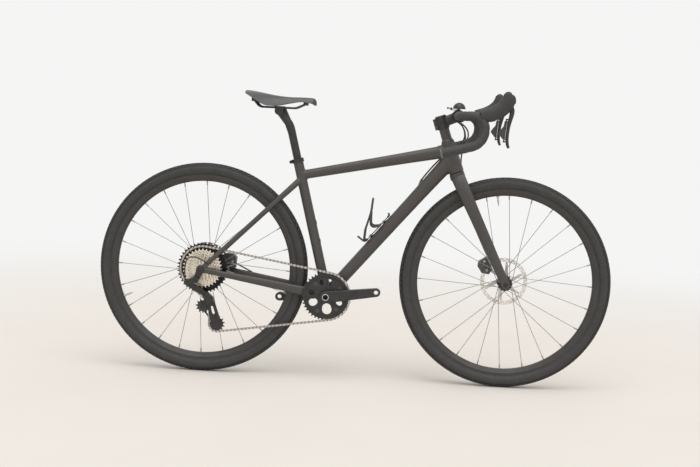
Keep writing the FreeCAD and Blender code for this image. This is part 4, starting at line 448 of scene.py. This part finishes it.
def casing_profile():
    """Half section of the casing, from the bead to the crown, as (radius, y) in mm."""
    points = [BEAD, WAIST]
    for k in range(1, LOWER_STEPS + 1):
        turn = math.pi / 2 * (1 - k / LOWER_STEPS)
        points.append((WIDEST[0] - (WIDEST[0] - WAIST[0]) * math.sin(turn),
                       WAIST[1] + (WIDEST[1] - WAIST[1]) * math.cos(turn)))
    for k in range(1, UPPER_STEPS + 1):
        turn = math.pi / 2 * k / UPPER_STEPS
        points.append((WIDEST[0] + (CASING_TOP - WIDEST[0]) * math.sin(turn),
                       WIDEST[1] * math.cos(turn)**CASING_POWER if k < UPPER_STEPS else 0.0))
    return points


def wheel_point(centre, radius, y, degrees):
    turn = math.radians(degrees)
    return centre + Vector((radius * math.cos(turn), y, radius * math.sin(turn))) * MM


def knob(centre, radius, y, lean, degrees, size, points, faces):
    """Tapered block standing on the casing, leaning out by that angle."""
    across, along, height = size
    first = len(points)
    for lift, taper in ((KNOB_SUNK, KNOB_FOOT), (height, KNOB_TOP)):
        for side, step in ((-1, -1), (1, -1), (1, 1), (-1, 1)):
            out = math.radians(lean)
            shift = side * across / 2 * taper
            r = radius + lift * math.cos(out) - shift * math.sin(out)
            sideways = y + lift * math.sin(out) + shift * math.cos(out)
            turn = degrees + math.degrees(step * along / 2 * taper / radius)
            points.append(wheel_point(centre, r, sideways, turn))
    a = first
    faces.extend([(a + 4, a + 5, a + 6, a + 7), (a, a + 1, a + 5, a + 4), (a + 1, a + 2, a + 6, a + 5),
                  (a + 2, a + 3, a + 7, a + 6), (a + 3, a, a + 4, a + 7)])


def tread(centre, points, faces):
    """Low centre blocks in a staggered pattern, and a row of larger knobs on each shoulder."""
    for k in range(CENTRE_KNOBS):
        degrees = 360 / CENTRE_KNOBS * k
        for y, half_steps in CENTRE_ROWS:
            turn = degrees + half_steps * 180 / CENTRE_KNOBS
            knob(centre, casing_radius(abs(y)), y, y * CENTRE_LEAN, turn, CENTRE_KNOB, points, faces)
    for k in range(SHOULDER_KNOBS):
        degrees = 360 / SHOULDER_KNOBS * k
        y = SHOULDER_Y + STAGGER_Y * (k % 2)
        lean = SHOULDER_LEAN + STAGGER_LEAN * (k % 2)
        for side in (1, -1):
            knob(centre, casing_radius(y), side * y, side * lean, degrees, SHOULDER_KNOB, points, faces)


def casing_radius(y):
    """Radius of the casing's outside at that distance from the middle plane."""
    profile = casing_profile()[LOWER_STEPS + 1:]
    for (r0, y0), (r1, y1) in zip(profile, profile[1:]):
        if y1 <= y <= y0:
            return r0 + (r1 - r0) * (y0 - y) / (y0 - y1)
    return CASING_TOP


def tyre(end, centre):
    half = casing_profile()
    section = half + [(radius, -y) for radius, y in reversed(half[:-1])]
    inside = [(radius - WALL, y * INSIDE_WIDTH) for radius, y in reversed(section[3:-3])]
    inside = [(max(radius, BEAD[0] + BEAD_TALL), y) for radius, y in inside]
    ring = section + [(BEAD[0], -BEAD_INSIDE)] + inside + [(BEAD[0], BEAD_INSIDE)]
    points = []
    for k in range(SEGMENTS):
        for radius, y in ring:
            points.append(wheel_point(centre, radius, y, 360 / SEGMENTS * k))
    faces = grid_faces(SEGMENTS, len(ring), True, True)
    tread(centre, points, faces)
    mesh = mesh_from(end + "_tyre_tread", points, faces)
    sharpen(piece(end + "_tyre_tread", mesh, TYRES[end], end + "_wheel", "tyre_rubber", end + "_tyre"))


tyre("front", FRONT_HUB)
tyre("rear", REAR_HUB)


# Bar tape

BAR_REACH = 80.0
BAR_HALF = 210.0
BAR_RISE = 4
BAR_DROP = 88
BENDS = (38.0, 40.0, 56.0)
TAIL_LENGTH = 138.0
TAIL_SLOPE = 15.7
FLARE = 26.0
TAIL_FLARE = 0.65
TAPE_START = 67.0
TAPE_R = 14.9
TAPE_LENGTHWISE = 1.4
TAPE_COLUMNS = 40

# A turn of the tape: its pitch, the height of its edge, the curve up to it, where it drops, how deep it is
# set and how much its middle swells.
WRAP_PITCH = 21.0
WRAP_STEP = 0.75
WRAP_POWER = 0.7
WRAP_EDGE = 0.93
WRAP_SET = 0.15
WRAP_SWELL = 0.25


def bar_corners():
    """Corners of the left half of the bar, in mm from the clamp's middle."""
    reach = Vector((BAR_REACH, BAR_HALF, BAR_RISE))
    low = reach + Vector((-1, FLARE / 2, -BAR_DROP))
    turn = math.radians(180 + TAIL_SLOPE)
    tail = low + Vector((math.cos(turn), 0, math.sin(turn))) * TAIL_LENGTH + SIDE * (FLARE * TAIL_FLARE)
    return [Vector((0, TAPE_START, 0)), Vector((0, BAR_HALF - 4, 0)), reach, low, tail]


def bar_line():
    """Points along the bar, evenly spaced, with its bends as arcs."""
    corners = bar_corners()
    line = [corners[0]]
    for before, corner, after, radius in zip(corners, corners[1:], corners[2:], BENDS):
        back = (before - corner).normalized()
        on = (after - corner).normalized()
        half = back.angle(on) / 2
        reach = radius / math.tan(half)
        centre = corner + (back + on).normalized() * (radius / math.sin(half))
        start = corner + back * reach - centre
        end = corner + on * reach - centre
        turn = start.angle(end)
        axis = start.cross(end).normalized()
        count = max(2, int(radius * turn / TAPE_LENGTHWISE))
        for k in range(count + 1):
            line.append(centre + Matrix.Rotation(turn * k / count, 3, axis) @ start)
    line.append(corners[-1])
    return even(line, TAPE_LENGTHWISE)


def even(line, step):
    """The same line with its points evenly spaced."""
    out = [line[0]]
    carry = 0.0
    for a, b in zip(line, line[1:]):
        length = (b - a).length
        at = step - carry
        while at < length:
            out.append(a.lerp(b, at / length))
            at += step
        carry = length - (at - step)
    return out + [line[-1]]


def carried_frames(line):
    """Two directions across the line at each point, turned as little as possible."""
    ahead = (line[1] - line[0]).normalized()
    up = ahead.orthogonal().normalized()
    frames = []
    for k in range(len(line)):
        nxt = (line[min(k + 1, len(line) - 1)] - line[max(k - 1, 0)]).normalized()
        up = (up - nxt * up.dot(nxt)).normalized()
        frames.append((up, nxt.cross(up)))
    return frames


def wrapped_tape(side):
    """Tube with the stepped edge of each turn running round it as one spiral."""
    line = bar_line()
    points = []
    for k, (centre, (up, across)) in enumerate(zip(line, carried_frames(line))):
        for j in range(TAPE_COLUMNS):
            share = (k * TAPE_LENGTHWISE / WRAP_PITCH + side * j / TAPE_COLUMNS) % 1.0
            edge = share**WRAP_POWER if share < WRAP_EDGE else (1 - share) / (1 - WRAP_EDGE)
            lift = WRAP_STEP * edge - WRAP_SET + WRAP_SWELL * math.sin(math.pi * share)
            point = centre + around(up, across, j / TAPE_COLUMNS) * (TAPE_R + lift)
            points.append(BAR + Vector((point.x, side * point.y, point.z)) * MM)
    return mesh_from("tape", points, capped_faces(len(line), TAPE_COLUMNS))


def turned_mesh(name, start, along, profile, columns=48, hollow=False):
    """Surface of revolution: (distance along, radius) in mm about a line; a hollow one joins its own ends."""
    along = along.normalized()
    up = along.orthogonal().normalized()
    across = along.cross(up)
    points = []
    for distance, radius in profile:
        for j in range(columns):
            points.append(start + (around(up, across, j / columns) * radius + along * distance) * MM)
    rows = len(profile)
    faces = grid_faces(rows, columns, True, True) if hollow else capped_faces(rows, columns)
    return mesh_from(name, points, faces)


PLUG_PROFILE = ((-4, 11.0), (0.2, 11.0), (0.2, 15.2), (1.6, 15.4), (2.8, 14.9), (3.6, 13.0), (3.7, 11.5),
                (3.1, 11.0), (3.0, 6.0), (3.4, 3.0), (3.4, 0.05))
BAND_PROFILE = ((0, 12.4), (0, 15.2), (0.6, 15.7), (15, 15.9), (15.6, 15.5), (15.6, 12.4))
BAND_START = TAPE_START - 1.5


def bar_end(side):
    """Plug with a rolled lip in the end of the bar."""
    line = bar_line()
    flip = Vector((1, side, 1))
    end = BAR + line[-1] * flip * MM
    along = (line[-1] - line[-2]) * flip
    return turned_mesh("plug", end, along, PLUG_PROFILE)


for hand, side in (("left", 1), ("right", -1)):
    sharpen(piece(hand + "_tape", wrapped_tape(side), TAPE, "front_end", "tape", "bar_tape"), degrees=50)
    sharpen(piece(hand + "_plug", bar_end(side), PLUG, "front_end", "black_plastic"))
    band = turned_mesh("band", BAR + SIDE * (side * BAND_START * MM), SIDE * side, BAND_PROFILE)
    sharpen(piece(hand + "_tape_band", band, FINISHING, "front_end", "black_plastic"))


# Forms moulded from a node: the same shape with blended corners

LEAST_SOFT = 0.2


def rod_mesh(start, end, radius):
    """Cylinder between two places."""
    length = (end - start).length / MM
    return turned_mesh("rod", start, end - start, ((0, radius), (length, radius)))


def moulded(name, node, voxel, passes, material, body, slot, bores=(), crisp=()):
    """Copy of a node whose corners run into each other, less so at its crisp places.

    Bores are filled and stay filled; the pieces that stand in them hide it.
    """
    edit = bmesh.new()
    edit.from_mesh(NODES[node].data)
    for bore in bores:
        edit.from_mesh(rod_mesh(*bore))
    mesh = bpy.data.meshes.new(name)
    edit.to_mesh(mesh)
    edit.free()
    obj = piece(name, mesh, material, None, slot, node)
    remesh = obj.modifiers.new("remesh", "REMESH")
    remesh.mode = "VOXEL"
    remesh.voxel_size = voxel * MM
    remesh.use_smooth_shade = True
    applied(obj)
    group = obj.vertex_groups.new(name="soft")
    for vertex in obj.data.vertices:
        near = min([1.0] + [(vertex.co - place).length / reach for place, reach in crisp])
        group.add([vertex.index], max(LEAST_SOFT, min(1.0, near * 2 - 1)), "REPLACE")
    smooth = obj.modifiers.new("smooth", "SMOOTH")
    smooth.factor = 0.5
    smooth.iterations = passes
    smooth.vertex_group = "soft"
    applied(obj)
    dress(obj, material)
    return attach(obj, body)


def applied(obj):
    """Puts the result of an object's modifiers into its mesh."""
    bpy.context.view_layer.update()
    graph = bpy.context.evaluated_depsgraph_get()
    mesh = bpy.data.meshes.new_from_object(obj.evaluated_get(graph))
    obj.modifiers.clear()
    obj.data = mesh


BB = pivot("crank_spin")
CROWN = pivot("steering")
STEER_UP = Vector(JOINTS["steering"]["axis"])
SEAT_UP = Vector(JOINTS["seatpost_slide"]["axis"])
SEAT_TOP = BB + SEAT_UP * 0.470
HEAD_TOP = CROWN + STEER_UP * 0.108
PAST = 0.0005
POST_DEPTH = 0.22
POST_R = 13.9
HEAD_R = 17.0
SHELL_R = 20.5
SHELL_SIDE = SIDE * 0.0435
FRAME_BORES = ((SEAT_TOP - SEAT_UP * POST_DEPTH, SEAT_TOP + SEAT_UP * PAST, POST_R),
               (CROWN - STEER_UP * PAST, HEAD_TOP + STEER_UP * PAST, HEAD_R),
               (BB - SHELL_SIDE, BB + SHELL_SIDE, SHELL_R))

# Places that stay crisp, and how far round them.
FRAME_CRISP = ((SEAT_TOP, 0.03), (HEAD_TOP, 0.045), (CROWN, 0.045), (BB + SIDE * 0.043, 0.045),
               (BB - SIDE * 0.043, 0.045), (REAR_HUB + SIDE * 0.075, 0.06), (REAR_HUB - SIDE * 0.075, 0.06))
moulded("frame_shell", "main_frame", voxel=2.2, passes=10, material=PAINT, body="frame", slot="frame_paint",
        bores=FRAME_BORES, crisp=FRAME_CRISP)
for hand in ("left", "right"):
    moulded(hand + "_hood_grip", hand + "_hood", voxel=1.0, passes=8, material=HOOD, body="front_end",
            slot="hood_rubber")


# Saddle

# Along the saddle from its clamp, half width, height of the crown and of the edge, in mm.
SADDLE_STATIONS = ((-116, 30, 63, 55), (-108, 57, 65, 51), (-79, 71, 62.5, 35), (-44, 67, 57, 16.5),
                   (-7, 47, 52, 17), (31, 30, 49.5, 25), (71, 21.5, 49.5, 32), (106, 18.5, 47.5, 28),
                   (119, 12, 43.5, 22), (124, 4, 33, 24))
SADDLE_ROWS = 56
SADDLE_HALF_COLUMNS = 12
DOME_POWER = 2.2

# The underside: width and height as shares of the top, and how far the edge hangs below it.
UNDER_WIDTH = 0.94
UNDER_HEIGHT = 0.58
EDGE_HANG = 1.5

# The channel: size in mm, then its middle, half length and fade as shares of the saddle's length.
CHANNEL_HALF = 8.0
CHANNEL_DEPTH = 2.6
CHANNEL_MIDDLE = 0.42
CHANNEL_REACH = 0.372
CHANNEL_FADE = 0.186


def smooth_station(t):
    """Saddle section at a share of its length, on a smooth curve through the stations."""
    count = len(SADDLE_STATIONS) - 1
    k = min(int(t * count), count - 1)
    f = t * count - k
    near = [SADDLE_STATIONS[min(max(k + step, 0), count)] for step in (-1, 0, 1, 2)]
    out = []
    for p0, p1, p2, p3 in zip(*near):
        out.append(0.5 * (2 * p1 + (p2 - p0) * f + (2 * p0 - 5 * p1 + 4 * p2 - p3) * f**2
                          + (3 * p1 - p0 - 3 * p2 + p3) * f**3))
    return out


def saddle_section(t):
    """Closed section: domed top with a shallow channel, rolled edges, hollow underside."""
    x, half, crown, edge = smooth_station(t)
    rise = crown - edge
    inside = min(1.0, max(0.0, (CHANNEL_REACH - abs(t - CHANNEL_MIDDLE)) / CHANNEL_FADE))
    shares = [math.sin(math.pi / 2 * k / SADDLE_HALF_COLUMNS)
              for k in range(-SADDLE_HALF_COLUMNS, SADDLE_HALF_COLUMNS + 1)]
    section = []
    for u in shares:
        y = half * u
        dip = CHANNEL_DEPTH * inside * math.exp(-(y / CHANNEL_HALF)**2)
        section.append(Vector((x, y, edge + rise * (1 - abs(u)**DOME_POWER) - dip)))
    for u in reversed(shares):
        u *= UNDER_WIDTH
        low = rise * (1 - abs(u)**DOME_POWER) * UNDER_HEIGHT
        section.append(Vector((x, half * u, edge - EDGE_HANG + max(low, 0.0))))
    return section


def saddle_mesh():
    points = []
    for k in range(SADDLE_ROWS):
        section = saddle_section(k / (SADDLE_ROWS - 1))
        points += [SADDLE_CLAMP + point * MM for point in section]
    return mesh_from("saddle", points, capped_faces(SADDLE_ROWS, len(section)))


def saddle():
    obj = piece("saddle_skin", saddle_mesh(), SKIN, "saddle", "saddle_skin", "saddle_cover")
    sharpen(obj, degrees=180)


saddle()


# Hoses and housing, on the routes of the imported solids

HOSE_R = 2.5
LOOP_R = 2.2
HOSE_COLUMNS = 16
HOSE_DROP = 18.7
BAR_EXIT = 64.0
STEER_FORWARD = SIDE.cross(STEER_UP)
FORK_PORT = CROWN + STEER_FORWARD * 0.019 - STEER_UP * 0.0037 + SIDE * 0.025
DOWN_TUBE = (CROWN + STEER_UP * 0.050 - BB).normalized()
STAY = (BB - REAR_HUB).normalized()


def mm(x, y, z):
    return Vector((x, y, z)) * MM


def tube_place(start, tube, along, out, y):
    """Place by a tube, in mm along it from its start, out above it and to the left."""
    return start + (tube * along + tube.cross(SIDE) * out + SIDE * y) * MM


def head_route(exit_y, ahead, beside_y, port_y):
    """From the right of the bar, across ahead of the head tube, round its left, into the down tube."""
    return (BAR + mm(0, -exit_y, -HOSE_DROP), BAR + mm(ahead - 8, 12 - exit_y, -34),
            BAR + mm(ahead, beside_y - 12, -82), CROWN + STEER_UP * 0.076 + SIDE * (beside_y * MM),
            tube_place(BB, DOWN_TUBE, 567, 31.4, port_y + 6), tube_place(BB, DOWN_TUBE, 505.3, 27.4, port_y))


FRONT_ROUTE = (BAR + mm(0, BAR_EXIT, -HOSE_DROP), BAR + mm(20, 55, -30), BAR + mm(33, 36, -74),
               FORK_PORT + STEER_UP * 0.042 + STEER_FORWARD * 0.004, FORK_PORT)
REAR_ROUTE = head_route(BAR_EXIT, 40, 38, 12)
SHIFT_ROUTE = head_route(BAR_EXIT - 7, 28, 31, 4)
CALIPER_ROUTE = (tube_place(REAR_HUB, STAY, 159, 10.5, 60), tube_place(REAR_HUB, STAY, 130, 18.8, 60),
                 tube_place(REAR_HUB, STAY, 98, 28.5, 57.5))
LOOP_ROUTE = (REAR_HUB + mm(24, -78.5, 22), REAR_HUB + mm(-22, -85.9, 52), REAR_HUB + mm(-56, -89.9, 26),
              REAR_HUB + mm(-47, -90.9, -38))


def route_line(route):
    """Smooth line that has the route's points as its control points."""
    curve = bpy.data.curves.new("route", "CURVE")
    curve.dimensions = "3D"
    curve.resolution_u = 16
    spline = curve.splines.new("NURBS")
    spline.points.add(len(route) - 1)
    for point, place in zip(spline.points, route):
        point.co = tuple(place) + (1.0,)
    spline.order_u = 3
    spline.use_endpoint_u = True
    holder = bpy.data.objects.new("route", curve)
    mesh = bpy.data.meshes.new_from_object(holder)
    line = [vertex.co.copy() for vertex in mesh.vertices]
    bpy.data.objects.remove(holder)
    return line


def hose(name, route, radius, node, body):
    line = route_line(route)
    points = []
    for centre, (up, across) in zip(line, carried_frames(line)):
        for j in range(HOSE_COLUMNS):
            points.append(centre + around(up, across, j / HOSE_COLUMNS) * (radius * MM))
    mesh = mesh_from(name, points, capped_faces(len(line), HOSE_COLUMNS))
    return piece(name, mesh, HOSE, body, "hose", node)


hose("front_hose", FRONT_ROUTE, HOSE_R, "front_brake_hose", "front_end")
for name, route, node in (("rear_hose", REAR_ROUTE, "rear_brake_hose"),
                          ("shift_hose", SHIFT_ROUTE, "shift_housing")):
    crossing = hose(name, route, HOSE_R, node, None)
    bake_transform(crossing)
hose("caliper_hose", CALIPER_ROUTE, HOSE_R, "rear_brake_hose", "frame")
hose("derailleur_loop", LOOP_ROUTE, LOOP_R, "shift_housing", "frame")


# Chain, split where the swinging cage carries it

GUIDE = pivot("guide_pulley_spin")
TENSION = pivot("tension_pulley_spin")
GUIDE_REACH = 0.030
TENSION_REACH = 0.034
CAGE_REACH = 0.034
COG_CLEAR = 0.0818
SHORT_REACH = 0.075
LOWER_BELOW = 0.262
LOWER_BEHIND = -0.110


def flat(a, b):
    """Distance in the plane of the chain."""
    return math.hypot(a.x - b.x, a.z - b.z)


def chain_zone(place):
    """Which run of the chain a place is on."""
    line = TENSION - GUIDE
    share = min(1.0, max(0.0, (place - GUIDE).dot(line) / line.length_squared))
    between = 0.0 < share < 1.0 and flat(place, GUIDE + line * share) < CAGE_REACH
    if between or flat(place, GUIDE) < GUIDE_REACH or flat(place, TENSION) < TENSION_REACH:
        return "wrap"
    if place.z < LOWER_BELOW and place.x < LOWER_BEHIND:
        return "lower"
    if flat(place, GUIDE) < SHORT_REACH and flat(place, REAR_HUB) > COG_CLEAR:
        return "short"
    return "upper"


def chain_run(zone):
    edit = bmesh.new()
    edit.from_mesh(NODES["chain"].data)
    spare = [face for face in edit.faces if chain_zone(face.calc_center_median()) != zone]
    bmesh.ops.delete(edit, geom=spare, context="FACES")
    mesh = bpy.data.meshes.new("chain_" + zone)
    edit.to_mesh(mesh)
    edit.free()
    return mesh


# On a run between frame and cage: a measure that is largest at the frame's end.
FROM_CAGE = {"lower": lambda place: place.x, "short": lambda place: flat(place, GUIDE)}
for zone, body in (("upper", "frame"), ("wrap", "cage"), ("lower", None), ("short", None)):
    run = chain_run(zone)
    places = [vertex.co.copy() for vertex in run.vertices]
    made = sharpen(piece("chain_" + zone, run, CHAIN, body, "steel", "chain"))
    if zone in FROM_CAGE:
        start, end = (pick(places, key=FROM_CAGE[zone]) for pick in (max, min))
        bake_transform(made)


# Small trim

# Web between blade and paddle barrel, as (x, z) in mm from the bar's clamp.
BLADE_WEB = ((149.3, -8), (144.9, -70), (151, -70), (151.5, -58), (154.5, -24), (157, -8))
WEB_HALF = 4.0


def blade_web(side):
    middle = side * LEVER_FROM_BAR[1]
    points = [BAR + mm(x, middle + y, z) for y in (-WEB_HALF, WEB_HALF) for x, z in BLADE_WEB]
    return mesh_from("blade_web", points, capped_faces(2, len(BLADE_WEB)))


for hand, side in (("left", 1), ("right", -1)):
    sharpen(piece(hand + "_blade_web", blade_web(side), ALLOY, hand + "_lever", "black_alloy"))


# Half section of a screw head with a socket, as (mm along, share of its radius).
SCREW = ((-1.5, 1.0), (0, 1.0), (1.9, 1.0), (2.5, 0.86), (2.5, 0.52), (1.0, 0.5), (1.0, 0.01))
SCREW_COLUMNS = 24
CALIPER_SCREWS = (-0.017, 0.015)
CALIPER_SCREW_R = 4.2
CALIPER_SCREW_SUNK = 0.002
AXLE_SCREW_R = 7.5
REAR_AXLE_END = 0.0838
FRONT_AXLE_END = 0.0638
SPINDLE_R = 0.014
RING_PROFILE = ((-4, 8.8), (0.5, 8.8), (0.8, 9.2), (0.8, 10.6), (0.4, 11.2), (-0.4, 11.2))


def screw(name, place, out, radius, material, body):
    profile = [(step, share * radius) for step, share in SCREW]
    sharpen(piece(name, turned_mesh(name, place, out, profile, SCREW_COLUMNS), material, body, "steel"))


def caliper_screws(end, body, along):
    low, high = (Vector(corner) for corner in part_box(end + "_caliper"))
    middle = (low + high) / 2
    for k, step in enumerate(CALIPER_SCREWS):
        place = middle + along * step
        place.y = low.y + CALIPER_SCREW_SUNK
        screw("%s_caliper_screw_%d" % (end, k), place, -SIDE, CALIPER_SCREW_R, STEEL, body)


caliper_screws("front", "front_end", STEER_UP)
caliper_screws("rear", "frame", STAY)

screw("axle_end", REAR_HUB - SIDE * REAR_AXLE_END, -SIDE, AXLE_SCREW_R, ALLOY, "frame")
screw("front_axle_end", FRONT_HUB - SIDE * FRONT_AXLE_END, -SIDE, AXLE_SCREW_R, ALLOY, "front_end")

crank = NODES["right_crank"].data.vertices
arm_face = min(vertex.co.y for vertex in crank if flat(vertex.co, BB) < SPINDLE_R)
ring_at = Vector((BB.x, arm_face, BB.z))
ring = turned_mesh("spindle_ring", ring_at, -SIDE, RING_PROFILE, hollow=True)
sharpen(piece("spindle_ring", ring, STEEL, "crank", "steel"))


# Stage, light and camera

BACKDROP_COLOUR = (0.915, 0.913, 0.910, 1.0)
FLOOR_COLOUR = (0.87, 0.815, 0.75)
FLOOR_HALF = 30.0
AMBIENT = 0.6
FADE_NEAR = 0.9
FADE_FAR = 4.5
IMAGE_WIDTH = 700
SENSOR_WIDTH = 36.0
FOCAL_PIXELS = 1299.2
CAMERA_AT = (0.1809, -4.377, 0.8988)
CAMERA_YAW = 2.604
CAMERA_PITCH = 5.252
CAMERA_ROLL = 2.684


def floor():
    """Pale floor that runs into the backdrop with distance, as seen by the camera."""
    corners = [(x * FLOOR_HALF, y * FLOOR_HALF, 0) for x, y in ((-1, -1), (1, -1), (1, 1), (-1, 1))]
    obj = bpy.data.objects.new("floor", mesh_from("floor", corners, [(0, 1, 2, 3)]))
    bpy.context.scene.collection.objects.link(obj)
    material = surface("floor_pale", FLOOR_COLOUR, rough=0.75, mottle=1.5, depth=0.015, grain=60.0, bump=0.02)
    tree, shader, place = parts_of(material)
    away = add(tree, "VectorMath", [(0, place)], operation="LENGTH").outputs["Value"]
    fade = mapped(tree, away, FADE_NEAR, FADE_FAR, interpolation_type="SMOOTHSTEP")
    share = maths(tree, "MULTIPLY", fade, add(tree, "LightPath").outputs["Is Camera Ray"])
    far = add(tree, "Emission", [("Color", BACKDROP_COLOUR)]).outputs["Emission"]
    mixed = add(tree, "MixShader", [(0, share), (1, shader.outputs["BSDF"]), (2, far)]).outputs["Shader"]
    tree.links.new(mixed, tree.nodes["Material Output"].inputs["Surface"])
    dress(obj, material)


def world():
    """Even studio light; the camera and mirrors see the pale backdrop."""
    made = bpy.data.worlds.new("studio")
    made.use_nodes = True
    tree = made.node_tree
    shade = tree.nodes["Background"]
    shade.inputs["Color"].default_value = BACKDROP_COLOUR
    path = add(tree, "LightPath")
    seen = maths(tree, "MAXIMUM", path.outputs["Is Camera Ray"], path.outputs["Is Glossy Ray"])
    tree.links.new(mapped(tree, seen, 0.0, 1.0, AMBIENT, 1.0), shade.inputs["Strength"])
    bpy.context.scene.world = made


def sun(degrees_up, azimuth, strength, softness):
    """Distant soft light that falls evenly on the object and the whole floor."""
    light = bpy.data.lights.new("sun", "SUN")
    light.energy = strength
    light.angle = math.radians(softness)
    obj = bpy.data.objects.new("sun", light)
    obj.rotation_euler = (math.radians(90 - degrees_up), 0, math.radians(azimuth))
    bpy.context.scene.collection.objects.link(obj)


def lamp(name, place, target, size, power):
    light = bpy.data.lights.new(name, "AREA")
    light.shape = "DISK"
    light.size = size
    light.energy = power
    obj = bpy.data.objects.new(name, light)
    obj.location = place
    obj.rotation_euler = (Vector(target) - Vector(place)).to_track_quat("-Z", "Y").to_euler()
    bpy.context.scene.collection.objects.link(obj)


def camera():
    data = bpy.data.cameras.new("photo_camera")
    data.sensor_width = SENSOR_WIDTH
    data.lens = SENSOR_WIDTH * FOCAL_PIXELS / IMAGE_WIDTH
    obj = bpy.data.objects.new("photo_camera", data)
    turn = Matrix.Rotation(math.radians(CAMERA_YAW), 4, "Z")
    tilt = Matrix.Rotation(math.radians(90 - CAMERA_PITCH), 4, "X")
    roll = Matrix.Rotation(math.radians(CAMERA_ROLL), 4, "Z")
    obj.matrix_world = Matrix.Translation(CAMERA_AT) @ turn @ tilt @ roll
    bpy.context.scene.collection.objects.link(obj)
    bpy.context.scene.camera = obj


floor()
world()
sun(degrees_up=62, azimuth=20, strength=1.25, softness=70)
lamp("overhead", place=(0.0, -0.6, 3.2), target=(0, 0, 0.5), size=2.4, power=14)
camera()
bpy.context.scene.view_settings.view_transform = "Standard"
